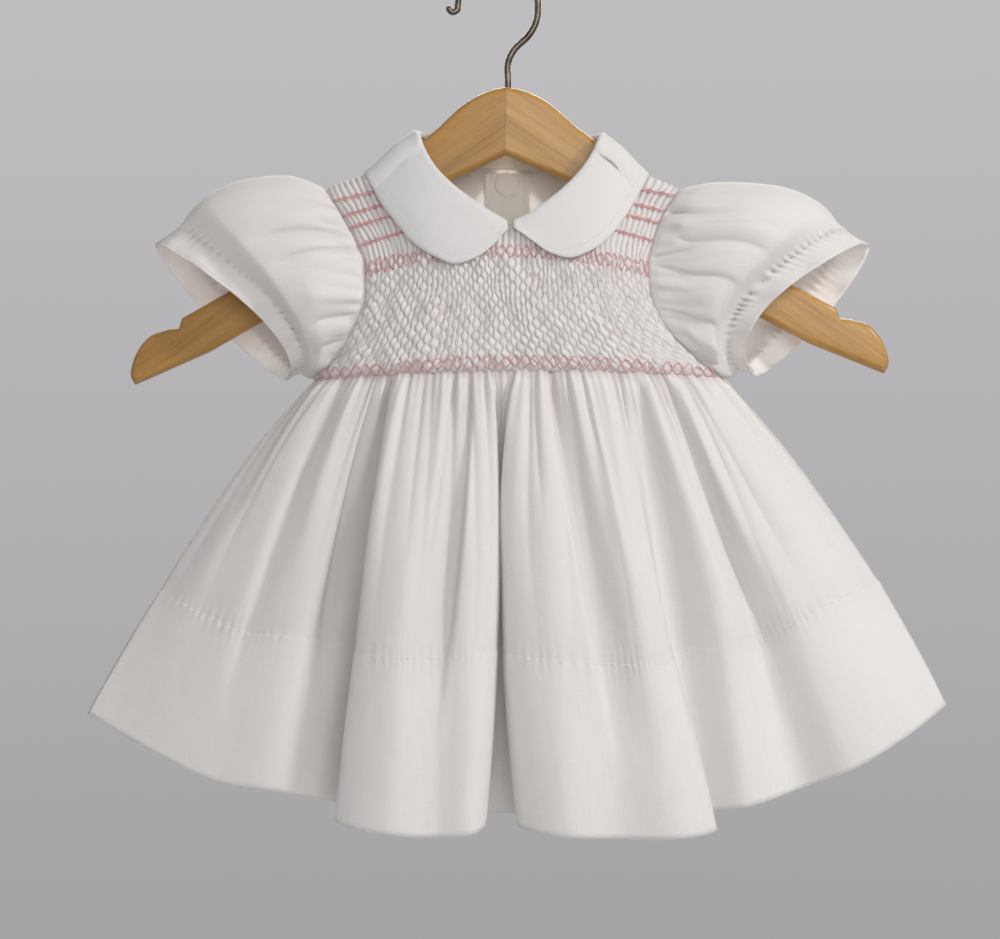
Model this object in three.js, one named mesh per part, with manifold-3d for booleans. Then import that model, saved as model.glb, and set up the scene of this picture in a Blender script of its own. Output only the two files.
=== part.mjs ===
// A baby's smocked dress on a wooden hanger, in millimetres.
// X runs to the right, the front faces -Y, +Z is up, and the origin is the inner top of the hook.
import * as THREE from "three";
import { mergeVertices } from "three/addons/utils/BufferGeometryUtils.js";
import Module from "manifold-3d";

// Cloth and seams
const CLOTH_THICK = 1.2;
const HEM_THICK = 1.9;
const COLLAR_THICK = 1.6;
const TAPE_THICK = 1.0;
const SEAM_GAP = 0.3;
const HALF_SEAM = SEAM_GAP / 2;
const TINY = 1e-3;

// Smocking and gathers
const SMOCK_COLUMNS = { leftShoulder: 14, neck: 29, rightShoulder: 13 };
const SMOCK_ROWS = 22;
const PUFF_HEIGHT = 1.5;
const SKIRT_GATHERS = 23;
const SKIRT_GATHER_HEIGHT = 1.7;
const SKIRT_COLUMNS = 104;
const SKIRT_ROWS = 10;
const HEM_STARTS = 0.64;

// Where the shoulders, armholes and side seams lie
const LEFT_TIP = { x: -83.6, z: -102.5 };
const RIGHT_TIP = { x: 79.4, z: -102.5 };
const LEFT_NECK = -42;
const RIGHT_NECK = 44;
const NECK_MIDDLE = 1;
const LEFT_UNDERARM = { x: -88.2, z: -190.6 };
const RIGHT_UNDERARM = { x: 99.3, z: -189.3 };
const WAIST_LIFT = 2.5;

// How the cloth rolls over the hanger and falls forwards or backwards
const FRONT_FALL = { roll: 10, depth: 35, ease: 38, neckRise: 2.5, sideShoulder: 0.7 };
const BACK_FALL = { roll: 12, depth: 26, ease: 30, neckRise: 25, sideShoulder: 0.55 };
const BACK_NECK_DIP = 3.5;

const SHOULDER_LINE = [
  { place: "left tip", x: -83.6, z: -102.5 },
  { place: "left collar edge", x: -64.6, z: -93.8 },
  { place: "left neck", x: -42, z: -78.4 },
  { place: "right neck", x: 44, z: -79.4 },
  { place: "right collar edge", x: 63.7, z: -93.3 },
  { place: "right tip", x: 79.4, z: -102.5 },
];

const FRONT_NECKLINE = [
  { place: "left neck", x: -42, z: -78.4 },
  { place: "left side", x: -37.1, z: -90.5 },
  { place: "left curve", x: -29.2, z: -101.5 },
  { place: "left front", x: -17.7, z: -111.5 },
  { place: "left of centre", x: -6, z: -118.8 },
  { place: "centre", x: 1, z: -121.5 },
  { place: "right of centre", x: 8, z: -119.5 },
  { place: "right front", x: 19.9, z: -112 },
  { place: "right curve", x: 29.6, z: -103 },
  { place: "right side", x: 39.5, z: -89.5 },
  { place: "right neck", x: 44, z: -79.4 },
];

// The armholes, given by how far each level lies below the origin
const ARMHOLES = [
  { level: 102.5, leftFront: -83.6, rightFront: 79.4, leftBack: -83.6, rightBack: 79.4 },
  { level: 114, leftFront: -76.3, rightFront: 71.5, leftBack: -79.4, rightBack: 75.4 },
  { level: 127, leftFront: -69.0, rightFront: 66.4, leftBack: -75.2, rightBack: 72.4 },
  { level: 140, leftFront: -64.2, rightFront: 63.8, leftBack: -72.0, rightBack: 71.0 },
  { level: 152, leftFront: -63.8, rightFront: 65.0, leftBack: -71.0, rightBack: 71.6 },
  { level: 164, leftFront: -67.8, rightFront: 70.2, leftBack: -73.0, rightBack: 75.0 },
  { level: 177.5, leftFront: -75.8, rightFront: 82.0, leftBack: -78.6, rightBack: 83.5 },
  { level: 186, leftFront: -83.0, rightFront: 93.0, leftBack: -83.8, rightBack: 93.2 },
  { level: 190.6, leftFront: -88.2, rightFront: 99.3, leftBack: -88.2, rightBack: 99.3 },
];

// The front skirt's folds from the left side seam to the right one.
// gathered is the share of the waist to the fold's left, and the other columns place it
// half way down and at the hem.
const FRONT_FOLDS = [
  { fold: "left seam", gathered: 0, midX: -146.5, hemX: -193.5, hemY: 0, hemZ: -343.9 },
  { fold: "left flare", gathered: 0.04, midX: -128.5, hemX: -162.7, hemY: -16, hemZ: -359.3 },
  { fold: "left sweep", gathered: 0.085, midX: -110.5, hemX: -131.7, hemY: -28, hemZ: -372.2 },
  { fold: "left ridge", gathered: 0.15, midX: -84.5, hemX: -101.0, hemY: -34, hemZ: -376.5 },
  { fold: "left valley", gathered: 0.19, midX: -63.5, hemX: -74.3, hemY: -8, hemZ: -385.2 },
  { fold: "first fold left edge", gathered: 0.215, midX: -64.0, hemX: -75.6, hemY: -46, hemZ: -388.0 },
  { fold: "first fold left face", gathered: 0.27, midX: -47.0, hemX: -53.7, hemY: -60, hemZ: -392.0 },
  { fold: "first fold trough", gathered: 0.335, midX: -30.0, hemX: -31.8, hemY: -56, hemZ: -393.6 },
  { fold: "first fold right face", gathered: 0.385, midX: -14.8, hemX: -16.4, hemY: -58, hemZ: -392.3 },
  { fold: "first fold right edge", gathered: 0.425, midX: -6.4, hemX: -9.9, hemY: -47, hemZ: -389.6 },
  { fold: "slit left", gathered: 0.45, midX: -4.6, hemX: -11.1, hemY: -7, hemZ: -389.4 },
  { fold: "slit right", gathered: 0.475, midX: -0.2, hemX: 6.9, hemY: -7, hemZ: -389.4 },
  { fold: "second fold left edge", gathered: 0.5, midX: 1.2, hemX: 5.6, hemY: -47, hemZ: -390.1 },
  { fold: "second fold left face", gathered: 0.55, midX: 17.5, hemX: 25.3, hemY: -61, hemZ: -393.0 },
  { fold: "second fold trough", gathered: 0.615, midX: 41.0, hemX: 49.4, hemY: -57, hemZ: -394.0 },
  { fold: "second fold right face", gathered: 0.68, midX: 57.5, hemX: 75.7, hemY: -60, hemZ: -393.6 },
  { fold: "second fold right edge", gathered: 0.74, midX: 70.0, hemX: 92.3, hemY: -50, hemZ: -391.2 },
  { fold: "right valley", gathered: 0.77, midX: 71.0, hemX: 88.9, hemY: -26, hemZ: -386.6 },
  { fold: "third ridge", gathered: 0.805, midX: 92.0, hemX: 108.0, hemY: -34, hemZ: -382.8 },
  { fold: "third valley", gathered: 0.855, midX: 106.0, hemX: 133.0, hemY: -20, hemZ: -376.5 },
  { fold: "fourth ridge", gathered: 0.9, midX: 121.0, hemX: 156.8, hemY: -28, hemZ: -366.4 },
  { fold: "right flare", gathered: 0.95, midX: 138.0, hemX: 182.9, hemY: -20, hemZ: -351.5 },
  { fold: "right seam", gathered: 1, midX: 158.6, hemX: 202.7, hemY: 0, hemZ: -340.2 },
];

// The back skirt's softer folds, seen from the same side
const BACK_FOLDS = [
  { fold: "left seam", gathered: 0, midX: -146.5, hemX: -193.5, hemY: 0, hemZ: -343.9 },
  { fold: "left flare", gathered: 0.09, midX: -127, hemX: -158, hemY: 24, hemZ: -357 },
  { fold: "left trough", gathered: 0.18, midX: -97, hemX: -124, hemY: 17, hemZ: -366 },
  { fold: "left ridge", gathered: 0.27, midX: -77, hemX: -96, hemY: 40, hemZ: -374 },
  { fold: "left inner trough", gathered: 0.35, midX: -49, hemX: -60, hemY: 26, hemZ: -379 },
  { fold: "middle left ridge", gathered: 0.44, midX: -25, hemX: -34, hemY: 47, hemZ: -383 },
  { fold: "middle trough", gathered: 0.52, midX: 2, hemX: 2, hemY: 30, hemZ: -383 },
  { fold: "middle right ridge", gathered: 0.6, midX: 29, hemX: 38, hemY: 47, hemZ: -382 },
  { fold: "right inner trough", gathered: 0.69, midX: 58, hemX: 72, hemY: 25, hemZ: -377 },
  { fold: "right ridge", gathered: 0.77, midX: 84, hemX: 106, hemY: 40, hemZ: -371 },
  { fold: "right trough", gathered: 0.85, midX: 108, hemX: 134, hemY: 18, hemZ: -364 },
  { fold: "right flare", gathered: 0.93, midX: 136, hemX: 172, hemY: 24, hemZ: -352 },
  { fold: "right seam", gathered: 1, midX: 158.6, hemX: 202.7, hemY: 0, hemZ: -340.2 },
];
const BACK_COLUMNS = 72;
const BACK_ROWS = 8;
const FOLD_OPENING = 1.8;
const ROWS_CROWDING = 1.25;
const GATHER_FADING = 1.6;
const SIDE_PUFF = { left: 11, right: 5, narrowing: 6, settling: 4 };
const EDGE_STEP = 0.01;
const BACK_BODICE_COLUMNS = 11;

// Each sleeve is a tube of sections that fan out from the underarm.
// frontLean and backLean move the front and back halves across the section towards the body.
const LEFT_SLEEVE = [
  { section: "crown", at: 0.2, topX: -100, topZ: -96.0, baseX: -89.6, baseZ: -189.8,
    front: 25, back: 20, frontLean: 15, backLean: 8, skew: -0.2 },
  { section: "high puff", at: 0.42, topX: -122, topZ: -99.2, baseX: -91.2, baseZ: -189.4,
    front: 28, back: 23, frontLean: 13, backLean: 3, skew: 0.15 },
  { section: "low puff", at: 0.62, topX: -141.0, topZ: -108, baseX: -93.0, baseZ: -188.6,
    front: 27, back: 22, frontLean: 11, backLean: -2, skew: 0.5 },
  { section: "shirring", at: 0.82, topX: -152.0, topZ: -120.5, baseX: -96.0, baseZ: -187.0,
    front: 18, back: 16, frontLean: 11, backLean: -4, skew: 0.5 },
  { section: "frill edge", at: 1, topX: -162.0, topZ: -127.5, baseX: -101.1, baseZ: -189.6,
    front: 21, back: 19, frontLean: 10, backLean: -6.5, skew: 0.5 },
];
const RIGHT_SLEEVE = [
  { section: "crown", at: 0.2, topX: 97, topZ: -98.8, baseX: 100.6, baseZ: -188.7,
    front: 25, back: 20, frontLean: 17, backLean: 8, skew: -0.2 },
  { section: "high puff", at: 0.42, topX: 126.0, topZ: -101.6, baseX: 102.2, baseZ: -188.4,
    front: 28, back: 23, frontLean: 16, backLean: 3, skew: 0.15 },
  { section: "low puff", at: 0.62, topX: 146.0, topZ: -109.6, baseX: 104.2, baseZ: -187.6,
    front: 27, back: 22, frontLean: 17, backLean: -2, skew: 0.5 },
  { section: "shirring", at: 0.82, topX: 156.0, topZ: -120.5, baseX: 107.4, baseZ: -185.6,
    front: 18, back: 16, frontLean: 16, backLean: -5, skew: 0.5 },
  { section: "frill edge", at: 1, topX: 167.0, topZ: -127.6, baseX: 113.6, baseZ: -187.6,
    front: 21, back: 19, frontLean: 15, backLean: -8, skew: 0.5 },
];
const SLEEVE_AROUND = 2 * SMOCK_ROWS;
const SLEEVE_ROWS = 10;
const SLEEVE_ROWS_CROWDING = 0.9;
const SLEEVE_GATHERS = 11;
const SLEEVE_GATHER = { height: 1.5, fullest: 0.3, reach: 0.5, starts: 0.04, growth: 0.25 };
const SLEEVE_EVENS_OUT = 0.7;
const FRILL = { starts: 0.82, wave: 1.6, phase: 1 };
const SLEEVE_SEAM = 0.45;

// The collar's halves, station by station from the centre front over the shoulder to the back.
// neckX is where a station starts on the neckline, and edgeX and edgeZ are on the outer edge.
const LEFT_COLLAR_FRONT = [
  { station: 0, neckX: 0.0, edgeX: 0.2, edgeZ: -125.2, stand: 0.4 },
  { station: 1, neckX: -5, edgeX: -6.4, edgeZ: -131.3, stand: 0.6 },
  { station: 2, neckX: -11, edgeX: -14.1, edgeZ: -137, stand: 0.9 },
  { station: 3, neckX: -18, edgeX: -23.5, edgeZ: -138.8, stand: 1.0 },
  { station: 4, neckX: -24, edgeX: -32.1, edgeZ: -136.4, stand: 1.1 },
  { station: 5, neckX: -29.5, edgeX: -41.2, edgeZ: -129.9, stand: 1.3 },
  { station: 6, neckX: -34, edgeX: -48.6, edgeZ: -121.1, stand: 1.5 },
  { station: 7, neckX: -38, edgeX: -56.2, edgeZ: -111.6, stand: 1.7 },
  { station: 8, neckX: -40.8, edgeX: -61.8, edgeZ: -101.8, stand: 1.4 },
];
const RIGHT_COLLAR_FRONT = [
  { station: 0, neckX: 2.6, edgeX: 3.6, edgeZ: -124.6, stand: 0.4 },
  { station: 1, neckX: 8, edgeX: 11.2, edgeZ: -129.3, stand: 0.6 },
  { station: 2, neckX: 14, edgeX: 18.9, edgeZ: -134.7, stand: 0.9 },
  { station: 3, neckX: 20.5, edgeX: 27.5, edgeZ: -137, stand: 1.0 },
  { station: 4, neckX: 26.5, edgeX: 36.1, edgeZ: -134.2, stand: 1.0 },
  { station: 5, neckX: 32, edgeX: 43.8, edgeZ: -128.1, stand: 1.0 },
  { station: 6, neckX: 36.5, edgeX: 50.7, edgeZ: -119.7, stand: 1.1 },
  { station: 7, neckX: 40, edgeX: 57.0, edgeZ: -110.5, stand: 1.2 },
  { station: 8, neckX: 42.8, edgeX: 61.8, edgeZ: -102.2, stand: 1.2 },
];
// The back of either half, with distances from the centre back towards that shoulder
const COLLAR_BACK = [
  { station: 10, neckX: 40.5, edgeX: 61.4, edgeZ: -103.5, stand: 1.5 },
  { station: 11, neckX: 35.5, edgeX: 53, edgeZ: -112.5, stand: 1.8 },
  { station: 12, neckX: 28, edgeX: 40, edgeZ: -116, stand: 2.1 },
  { station: 13, neckX: 19, edgeX: 26, edgeZ: -112, stand: 2.2 },
  { station: 14, neckX: 10, edgeX: 13.5, edgeZ: -103, stand: 2.1 },
  { station: 15, neckX: 2.4, edgeX: 4.6, edgeZ: -91, stand: 1.6 },
];
const COLLAR_SHOULDER = { station: 9, left: -65.2, right: 64.6, stand: 1.2 };
const COLLAR_STATIONS = { front: 12, back: 11, crowding: 1.8 };
const COLLAR_LIFT = PUFF_HEIGHT + SEAM_GAP + COLLAR_THICK / 2;
// How the stand rises from its foot and rolls over: the lifts and reaches are in millimetres
const COLLAR_ROLL = {
  footRise: 1.6,
  footInset: 0.3,
  riser: 0.7,
  crestRise: 0.6,
  crestReach: 1.7,
  inwardLean: 0.6,
  fallWidth: 3.4,
  leastFall: 0.12,
  mostFall: 0.45,
  turnLift: 0.25,
  turnShare: 0.35,
  restLift: 0.1,
  restShare: 0.06,
};
const COLLAR_RESTS = { first: 0.3, second: 0.65 };
const COLLAR_SHARES = [0, 0.09, 0.18, 0.27, 0.36, 0.48, 0.64, 0.82, 1];
const RIGHT_NECK_IS_WIDER_BY = 1 / 22;
const ON_PANEL_FROM = 0.004;

// Centre back opening
const PLACKET = { halfWidth: 10.5, top: 0.1, bottom: 0.985, divisions: 6 };
const BINDING = { halfWidth: 30, divisions: 20, downs: [0.005, 0.04, 0.085] };
const BUTTON = { radius: 5.8, thick: 2.4, rim: 1.3, dish: 0.6, edge: 0.6, sides: 20 };
const NEAR_CENTRE = 0.9;
const BUTTON_LEVELS = { top: -97.5, middle: -134, bottom: -168 };

// The hanger: half of its outline from the mitre outwards, before it is tilted and swept back
const HANGER_THICK = 9.4;
const HANGER_ROUNDING = 2.6;
const HANGER_FORWARD = 0.1;
const HANGER_TILT = THREE.MathUtils.degToRad(0.87);
const HANGER_SWEEP = 0.03;
const HANGER_MIDDLE = { x: -0.5, z: -70 };
const MITRE_SPARE = 8;
const BOARD = { depth: 40, height: 80 };
const HANGER_TOP = [
  { x: 0, z: -55.4 },
  { x: 7.4, z: -56.8 },
  { x: 18.9, z: -62.5 },
  { x: 31.9, z: -73.9 },
];
const HANGER_END = [
  { place: "shoulder", x: 130.7, z: -148.2 },
  { place: "lip", x: 151, z: -159.3 },
  { place: "notch side", x: 152.4, z: -163.9 },
  { place: "notch floor", x: 157.4, z: -164.4 },
];
const HANGER_TIP = [
  { x: 166.2, z: -167.6 },
  { x: 172.2, z: -175 },
  { x: 175, z: -185.1 },
  { x: 173.1, z: -189.5 },
];
const HANGER_UNDER = [
  { x: 138.5, z: -175 },
  { x: 113.6, z: -161.4 },
  { x: 28.6, z: -99.3 },
  { x: 0, z: -86.3 },
];
const WIRE_RADIUS = 1.5;
const HOOK = { right: 14.3, left: 22.6, height: 18.5, shaftX: 0.5, shaftFoot: -72 };
const SHAFT_BORE = { radius: 1.9, depth: 22 };
const WIRE_DIVISIONS = { around: 8, along: 38, loop: 10 };
const HOOK_LOWER = [
  { place: "shaft top", x: 0.5, z: -44 },
  { place: "bend out", x: 3.2, z: -38 },
  { place: "sweep", x: 10.2, z: -31 },
  { place: "rise", x: 13.6, z: -24.5 },
];
const HOOK_TIP = [
  { place: "end bend", x: -22.9, z: -19.2 },
  { place: "scroll foot", x: -25.2, z: -20.4 },
  { place: "scroll tip", x: -27.0, z: -18.6 },
];

const lerp = THREE.MathUtils.lerp;
const clamp = THREE.MathUtils.clamp;
const point = (x, y, z) => new THREE.Vector3(x, y, z);
const wave = (turns) => 0.5 + 0.5 * Math.cos(2 * Math.PI * turns);

// A smooth curve through a table's rows that never overshoots them
function smoothThrough(rows, along, value) {
  const at = rows.map((row) => row[along]);
  const level = rows.map((row) => row[value]);
  const rise = at.slice(1).map((x, k) => (level[k + 1] - level[k]) / (x - at[k]));
  const slope = level.map((_, k) => {
    if (k === 0) return rise[0];
    if (k === rise.length) return rise[k - 1];
    const turns = rise[k - 1] * rise[k] <= 0;
    return turns ? 0 : (2 * rise[k - 1] * rise[k]) / (rise[k - 1] + rise[k]);
  });
  return (x) => hermite(at, level, slope, x);
}

// A rounder curve through the rows, for folds that turn back on themselves
function roundThrough(at, level) {
  const last = at.length - 1;
  const slope = level.map((_, k) => {
    const before = Math.max(0, k - 1);
    const after = Math.min(last, k + 1);
    return (level[after] - level[before]) / (at[after] - at[before]);
  });
  return (x) => hermite(at, level, slope, x);
}

function hermite(at, level, slope, x) {
  let k = 0;
  while (k < at.length - 2 && x > at[k + 1]) k += 1;
  const width = at[k + 1] - at[k];
  const s = clamp((x - at[k]) / width, 0, 1);
  const rise = s * s * (3 - 2 * s);
  return (
    level[k] * (1 - rise) +
    level[k + 1] * rise +
    width * s * (1 - s) * ((1 - s) * slope[k] - s * slope[k + 1])
  );
}

// Outward direction of a surface(a, d), where a runs across and d down; side is 1 in front, -1 behind
function outward(surface, a, d, side = 1) {
  const across = surface(a + TINY, d).sub(surface(a - TINY, d));
  const down = surface(a, d + TINY).sub(surface(a, d - TINY));
  return down.cross(across).normalize().multiplyScalar(side);
}

function lifted(surface, a, d, lift, side = 1) {
  return surface(a, d).addScaledVector(outward(surface, a, d, side), lift);
}

// Triangles between two runs of points, which may have different counts
function stitch(faces, upper, lower) {
  const n = upper.length - 1;
  const m = lower.length - 1;
  let i = 0;
  let k = 0;
  while (i < n || k < m) {
    if (k === m || (i < n && (i + 1) * m <= (k + 1) * n)) {
      faces.push([upper[i], lower[k], upper[i + 1]]);
      i += 1;
    } else {
      faces.push([upper[i], lower[k], lower[k + 1]]);
      k += 1;
    }
  }
}

// Rows of equal length become quads, cut along the valley of a puff or along the shorter diagonal
function joinRows(points, faces, upper, lower, puffRow) {
  if (upper.length !== lower.length) {
    stitch(faces, upper, lower);
    return;
  }
  for (let i = 0; i + 1 < upper.length; i += 1) {
    const [a, b, c, d] = [upper[i], upper[i + 1], lower[i], lower[i + 1]];
    const shorter = points[b].distanceTo(points[c]) <= points[a].distanceTo(points[d]);
    const falling = puffRow === undefined ? shorter : (i + puffRow) % 2 === 0;
    if (falling) faces.push([a, c, b], [b, c, d]);
    else faces.push([a, c, d], [a, d, b]);
  }
}

// One closed wall from its outer and inner rows of points; a tube's rows close on themselves
function wall(name, material, outerRows, innerRows, { tube = false, puffRows = 0 } = {}) {
  const points = [];
  const faces = [];
  const keep = (row) => {
    const ids = row.map((p) => points.push(p) - 1);
    return tube ? [...ids, ids[0]] : ids;
  };
  const outer = outerRows.map(keep);
  const inner = innerRows.map(keep);
  for (let j = 0; j + 1 < outer.length; j += 1) {
    joinRows(points, faces, outer[j], outer[j + 1], j < puffRows ? j : undefined);
  }
  const insideFaces = [];
  for (let j = 0; j + 1 < inner.length; j += 1) {
    joinRows(points, insideFaces, inner[j], inner[j + 1]);
  }
  faces.push(...insideFaces.map(([a, b, c]) => [a, c, b]));
  stitch(faces, inner[0], outer[0]);
  stitch(faces, outer[outer.length - 1], inner[inner.length - 1]);
  if (!tube) {
    stitch(faces, outer.map((row) => row[0]), inner.map((row) => row[0]));
    stitch(faces, inner.map((row) => row.at(-1)), outer.map((row) => row.at(-1)));
  }
  return meshOf(name, material, points, faces);
}

function meshOf(name, material, points, faces) {
  const volume = faces.reduce((sum, [a, b, c]) => {
    return sum + points[a].dot(points[b].clone().cross(points[c]));
  }, 0);
  const turned = volume < 0 ? faces.map(([a, b, c]) => [a, c, b]) : faces;
  const geometry = new THREE.BufferGeometry().setFromPoints(points);
  geometry.setIndex(turned.flat());
  geometry.computeVertexNormals();
  const mesh = new THREE.Mesh(geometry, material);
  mesh.name = name;
  return mesh;
}

const steps = (count) => Array.from({ length: count + 1 }, (_, k) => k / count);

// Materials
const lawn = new THREE.MeshStandardMaterial({ color: 0xf1eeea, roughness: 0.85 });
const collarCloth = new THREE.MeshStandardMaterial({ color: 0xf4f1ee, roughness: 0.8 });
const pearl = new THREE.MeshStandardMaterial({ color: 0xf2ece0, roughness: 0.35 });
const maple = new THREE.MeshStandardMaterial({ color: 0xc58f45, roughness: 0.38 });
const pewter = new THREE.MeshStandardMaterial({ color: 0x5a5148, roughness: 0.4, metalness: 0.9 });

// Bodice surfaces
const shoulderHeight = smoothThrough(SHOULDER_LINE, "x", "z");
const necklineHeight = smoothThrough(FRONT_NECKLINE, "x", "z");
const armhole = {
  left: smoothThrough(ARMHOLES, "level", "leftFront"),
  right: smoothThrough(ARMHOLES, "level", "rightFront"),
  leftBack: smoothThrough(ARMHOLES, "level", "leftBack"),
  rightBack: smoothThrough(ARMHOLES, "level", "rightBack"),
};
const inNeck = (x) => x > LEFT_NECK && x < RIGHT_NECK;

// How much of the neck's width lies between x and the nearer side, from 0 at the sides to 1
function neckShare(x) {
  const half = (RIGHT_NECK - LEFT_NECK) / 2;
  const off = (x - NECK_MIDDLE) / half;
  return Math.max(0, 1 - off * off);
}

const pathToDrop = (fall, path) => {
  const arc = (fall.roll * Math.PI) / 2;
  return path < arc ? fall.roll * (1 - Math.cos(path / fall.roll)) : fall.roll + path - arc;
};

const dropToPath = (fall, drop) => {
  const arc = (fall.roll * Math.PI) / 2;
  return drop < fall.roll ? fall.roll * Math.acos(1 - drop / fall.roll) : arc + drop - fall.roll;
};

const dropToDepth = (fall, drop) => {
  if (drop < fall.roll) return Math.sqrt(drop * (2 * fall.roll - drop));
  return fall.roll + (fall.depth - fall.roll) * (1 - Math.exp((fall.roll - drop) / fall.ease));
};

const waistHeight = (a) =>
  lerp(LEFT_UNDERARM.z, RIGHT_UNDERARM.z, a) + WAIST_LIFT * Math.sin(Math.PI * a);

// How far below its virtual shoulder a column that starts at x is after a share down of its path
function columnDrop(fall, x, startDrop, endHeight, down) {
  const ridge = shoulderHeight(x) + (inNeck(x) ? fall.neckRise * neckShare(x) : 0);
  const start = dropToPath(fall, startDrop);
  const end = dropToPath(fall, ridge - endHeight);
  const drop = pathToDrop(fall, lerp(start, end, clamp(down, 0, 1)));
  return { drop, z: ridge - drop };
}

const sideShare = (fall, offCentre, down) => {
  const reach = offCentre * lerp(fall.sideShoulder, 1, down * down);
  return Math.sqrt(Math.max(0, 1 - reach ** 3));
};

// The front of the bodice: a runs from the left armhole to the right one, down from neck to waist
function frontBodice(a, down) {
  const startX = lerp(LEFT_TIP.x, RIGHT_TIP.x, clamp(a, 0, 1));
  const rise = FRONT_FALL.neckRise * neckShare(startX);
  const cut = inNeck(startX) ? shoulderHeight(startX) + rise - necklineHeight(startX) : 0;
  const { drop, z } = columnDrop(FRONT_FALL, startX, cut, waistHeight(a), down);
  const leftLevel = columnDrop(FRONT_FALL, LEFT_TIP.x, 0, LEFT_UNDERARM.z, down).z;
  const rightLevel = columnDrop(FRONT_FALL, RIGHT_TIP.x, 0, RIGHT_UNDERARM.z, down).z;
  const x = lerp(armhole.left(-leftLevel), armhole.right(-rightLevel), a);
  const share = sideShare(FRONT_FALL, Math.abs(2 * a - 1), down);
  return point(x, -HALF_SEAM - dropToDepth(FRONT_FALL, drop) * share, z);
}

// Either half of the back bodice: across runs from the armhole (0) to the centre back (1)
function backBodice(side, across, down) {
  const tip = side < 0 ? LEFT_TIP : RIGHT_TIP;
  const underarm = side < 0 ? LEFT_UNDERARM : RIGHT_UNDERARM;
  const edge = side < 0 ? armhole.leftBack : armhole.rightBack;
  const centre = side * HALF_SEAM;
  const startX = lerp(tip.x, centre, clamp(across, 0, 1));
  const rise = BACK_FALL.neckRise * neckShare(startX);
  const cut = inNeck(startX) ? rise + BACK_NECK_DIP * neckShare(startX) : 0;
  const sideways = side < 0 ? across / 2 : 1 - across / 2;
  const { drop, z } = columnDrop(BACK_FALL, startX, cut, waistHeight(sideways), down);
  const level = columnDrop(BACK_FALL, tip.x, 0, underarm.z, down).z;
  const x = lerp(edge(-level), centre, across);
  const share = sideShare(BACK_FALL, 1 - across, down);
  return point(x, HALF_SEAM + dropToDepth(BACK_FALL, drop) * share, z);
}

// The back bodice found by its x instead, across both halves
function backAt(x, down) {
  const side = x < 0 ? -1 : 1;
  const edge = backBodice(side, 0, down).x;
  return backBodice(side, (x - edge) / (side * HALF_SEAM - edge), down);
}

// An inner point of a side edge moved along the cloth, so that it stays on its own side of the seam
function mitred(inner, outer, neighbour, front) {
  const line = front * -HALF_SEAM;
  const over = (inner.y - line) * front;
  if (over <= 0) return inner;
  const along = neighbour.clone().sub(outer).normalize();
  const fall = -along.y * front;
  const moved = inner.clone().addScaledVector(along, fall > 0.2 ? over / fall : 0);
  moved.y = line;
  return moved;
}

// A skirt's hem as one smooth curve through its folds, and its columns' places
function skirtFolds(folds) {
  const length = [0];
  for (let k = 1; k < folds.length; k += 1) {
    const [a, b] = [folds[k - 1], folds[k]];
    const run = Math.hypot(b.hemX - a.hemX, b.hemY - a.hemY, b.hemZ - a.hemZ);
    length.push(length[k - 1] + run);
  }
  const rows = folds.map((row, k) => ({
    ...row,
    hem: length[k],
    column: (row.gathered + length[k] / length.at(-1)) / 2,
  }));
  const curve = (value) => roundThrough(length, rows.map((row) => row[value]));
  return {
    gathered: smoothThrough(rows, "column", "gathered"),
    hem: smoothThrough(rows, "column", "hem"),
    midX: curve("midX"),
    hemX: curve("hemX"),
    hemY: curve("hemY"),
    hemZ: curve("hemZ"),
  };
}

// A point of a skirt: column runs from the left seam to the right, down from waist to hem
function skirtPoint(folds, waist, column, down) {
  const share = folds.gathered(column);
  const hem = folds.hem(column);
  const top = waist(share);
  const straight = top.x * (1 - down) * (1 - 2 * down);
  const middle = folds.midX(hem) * 4 * down * (1 - down);
  const end = folds.hemX(hem) * down * (2 * down - 1);
  const puff = down * (1 - down) ** SIDE_PUFF.settling * SIDE_PUFF.settling;
  const rightPuff = SIDE_PUFF.right * share ** SIDE_PUFF.narrowing;
  const side = rightPuff - SIDE_PUFF.left * (1 - share) ** SIDE_PUFF.narrowing;
  const opened = 1 - Math.max(0, 1 - down) ** FOLD_OPENING;
  return point(
    straight + middle + end + puff * side,
    lerp(top.y, folds.hemY(hem), opened),
    lerp(top.z, folds.hemZ(hem), down),
  );
}

const skirtRows = (rows) => steps(rows).map((d) => d ** ROWS_CROWDING);
const skirtThick = (d) => (d >= HEM_STARTS ? HEM_THICK : CLOTH_THICK);
const gather = (share, d) =>
  SKIRT_GATHER_HEIGHT * wave(SKIRT_GATHERS * share) * (1 - d) ** GATHER_FADING;

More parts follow.
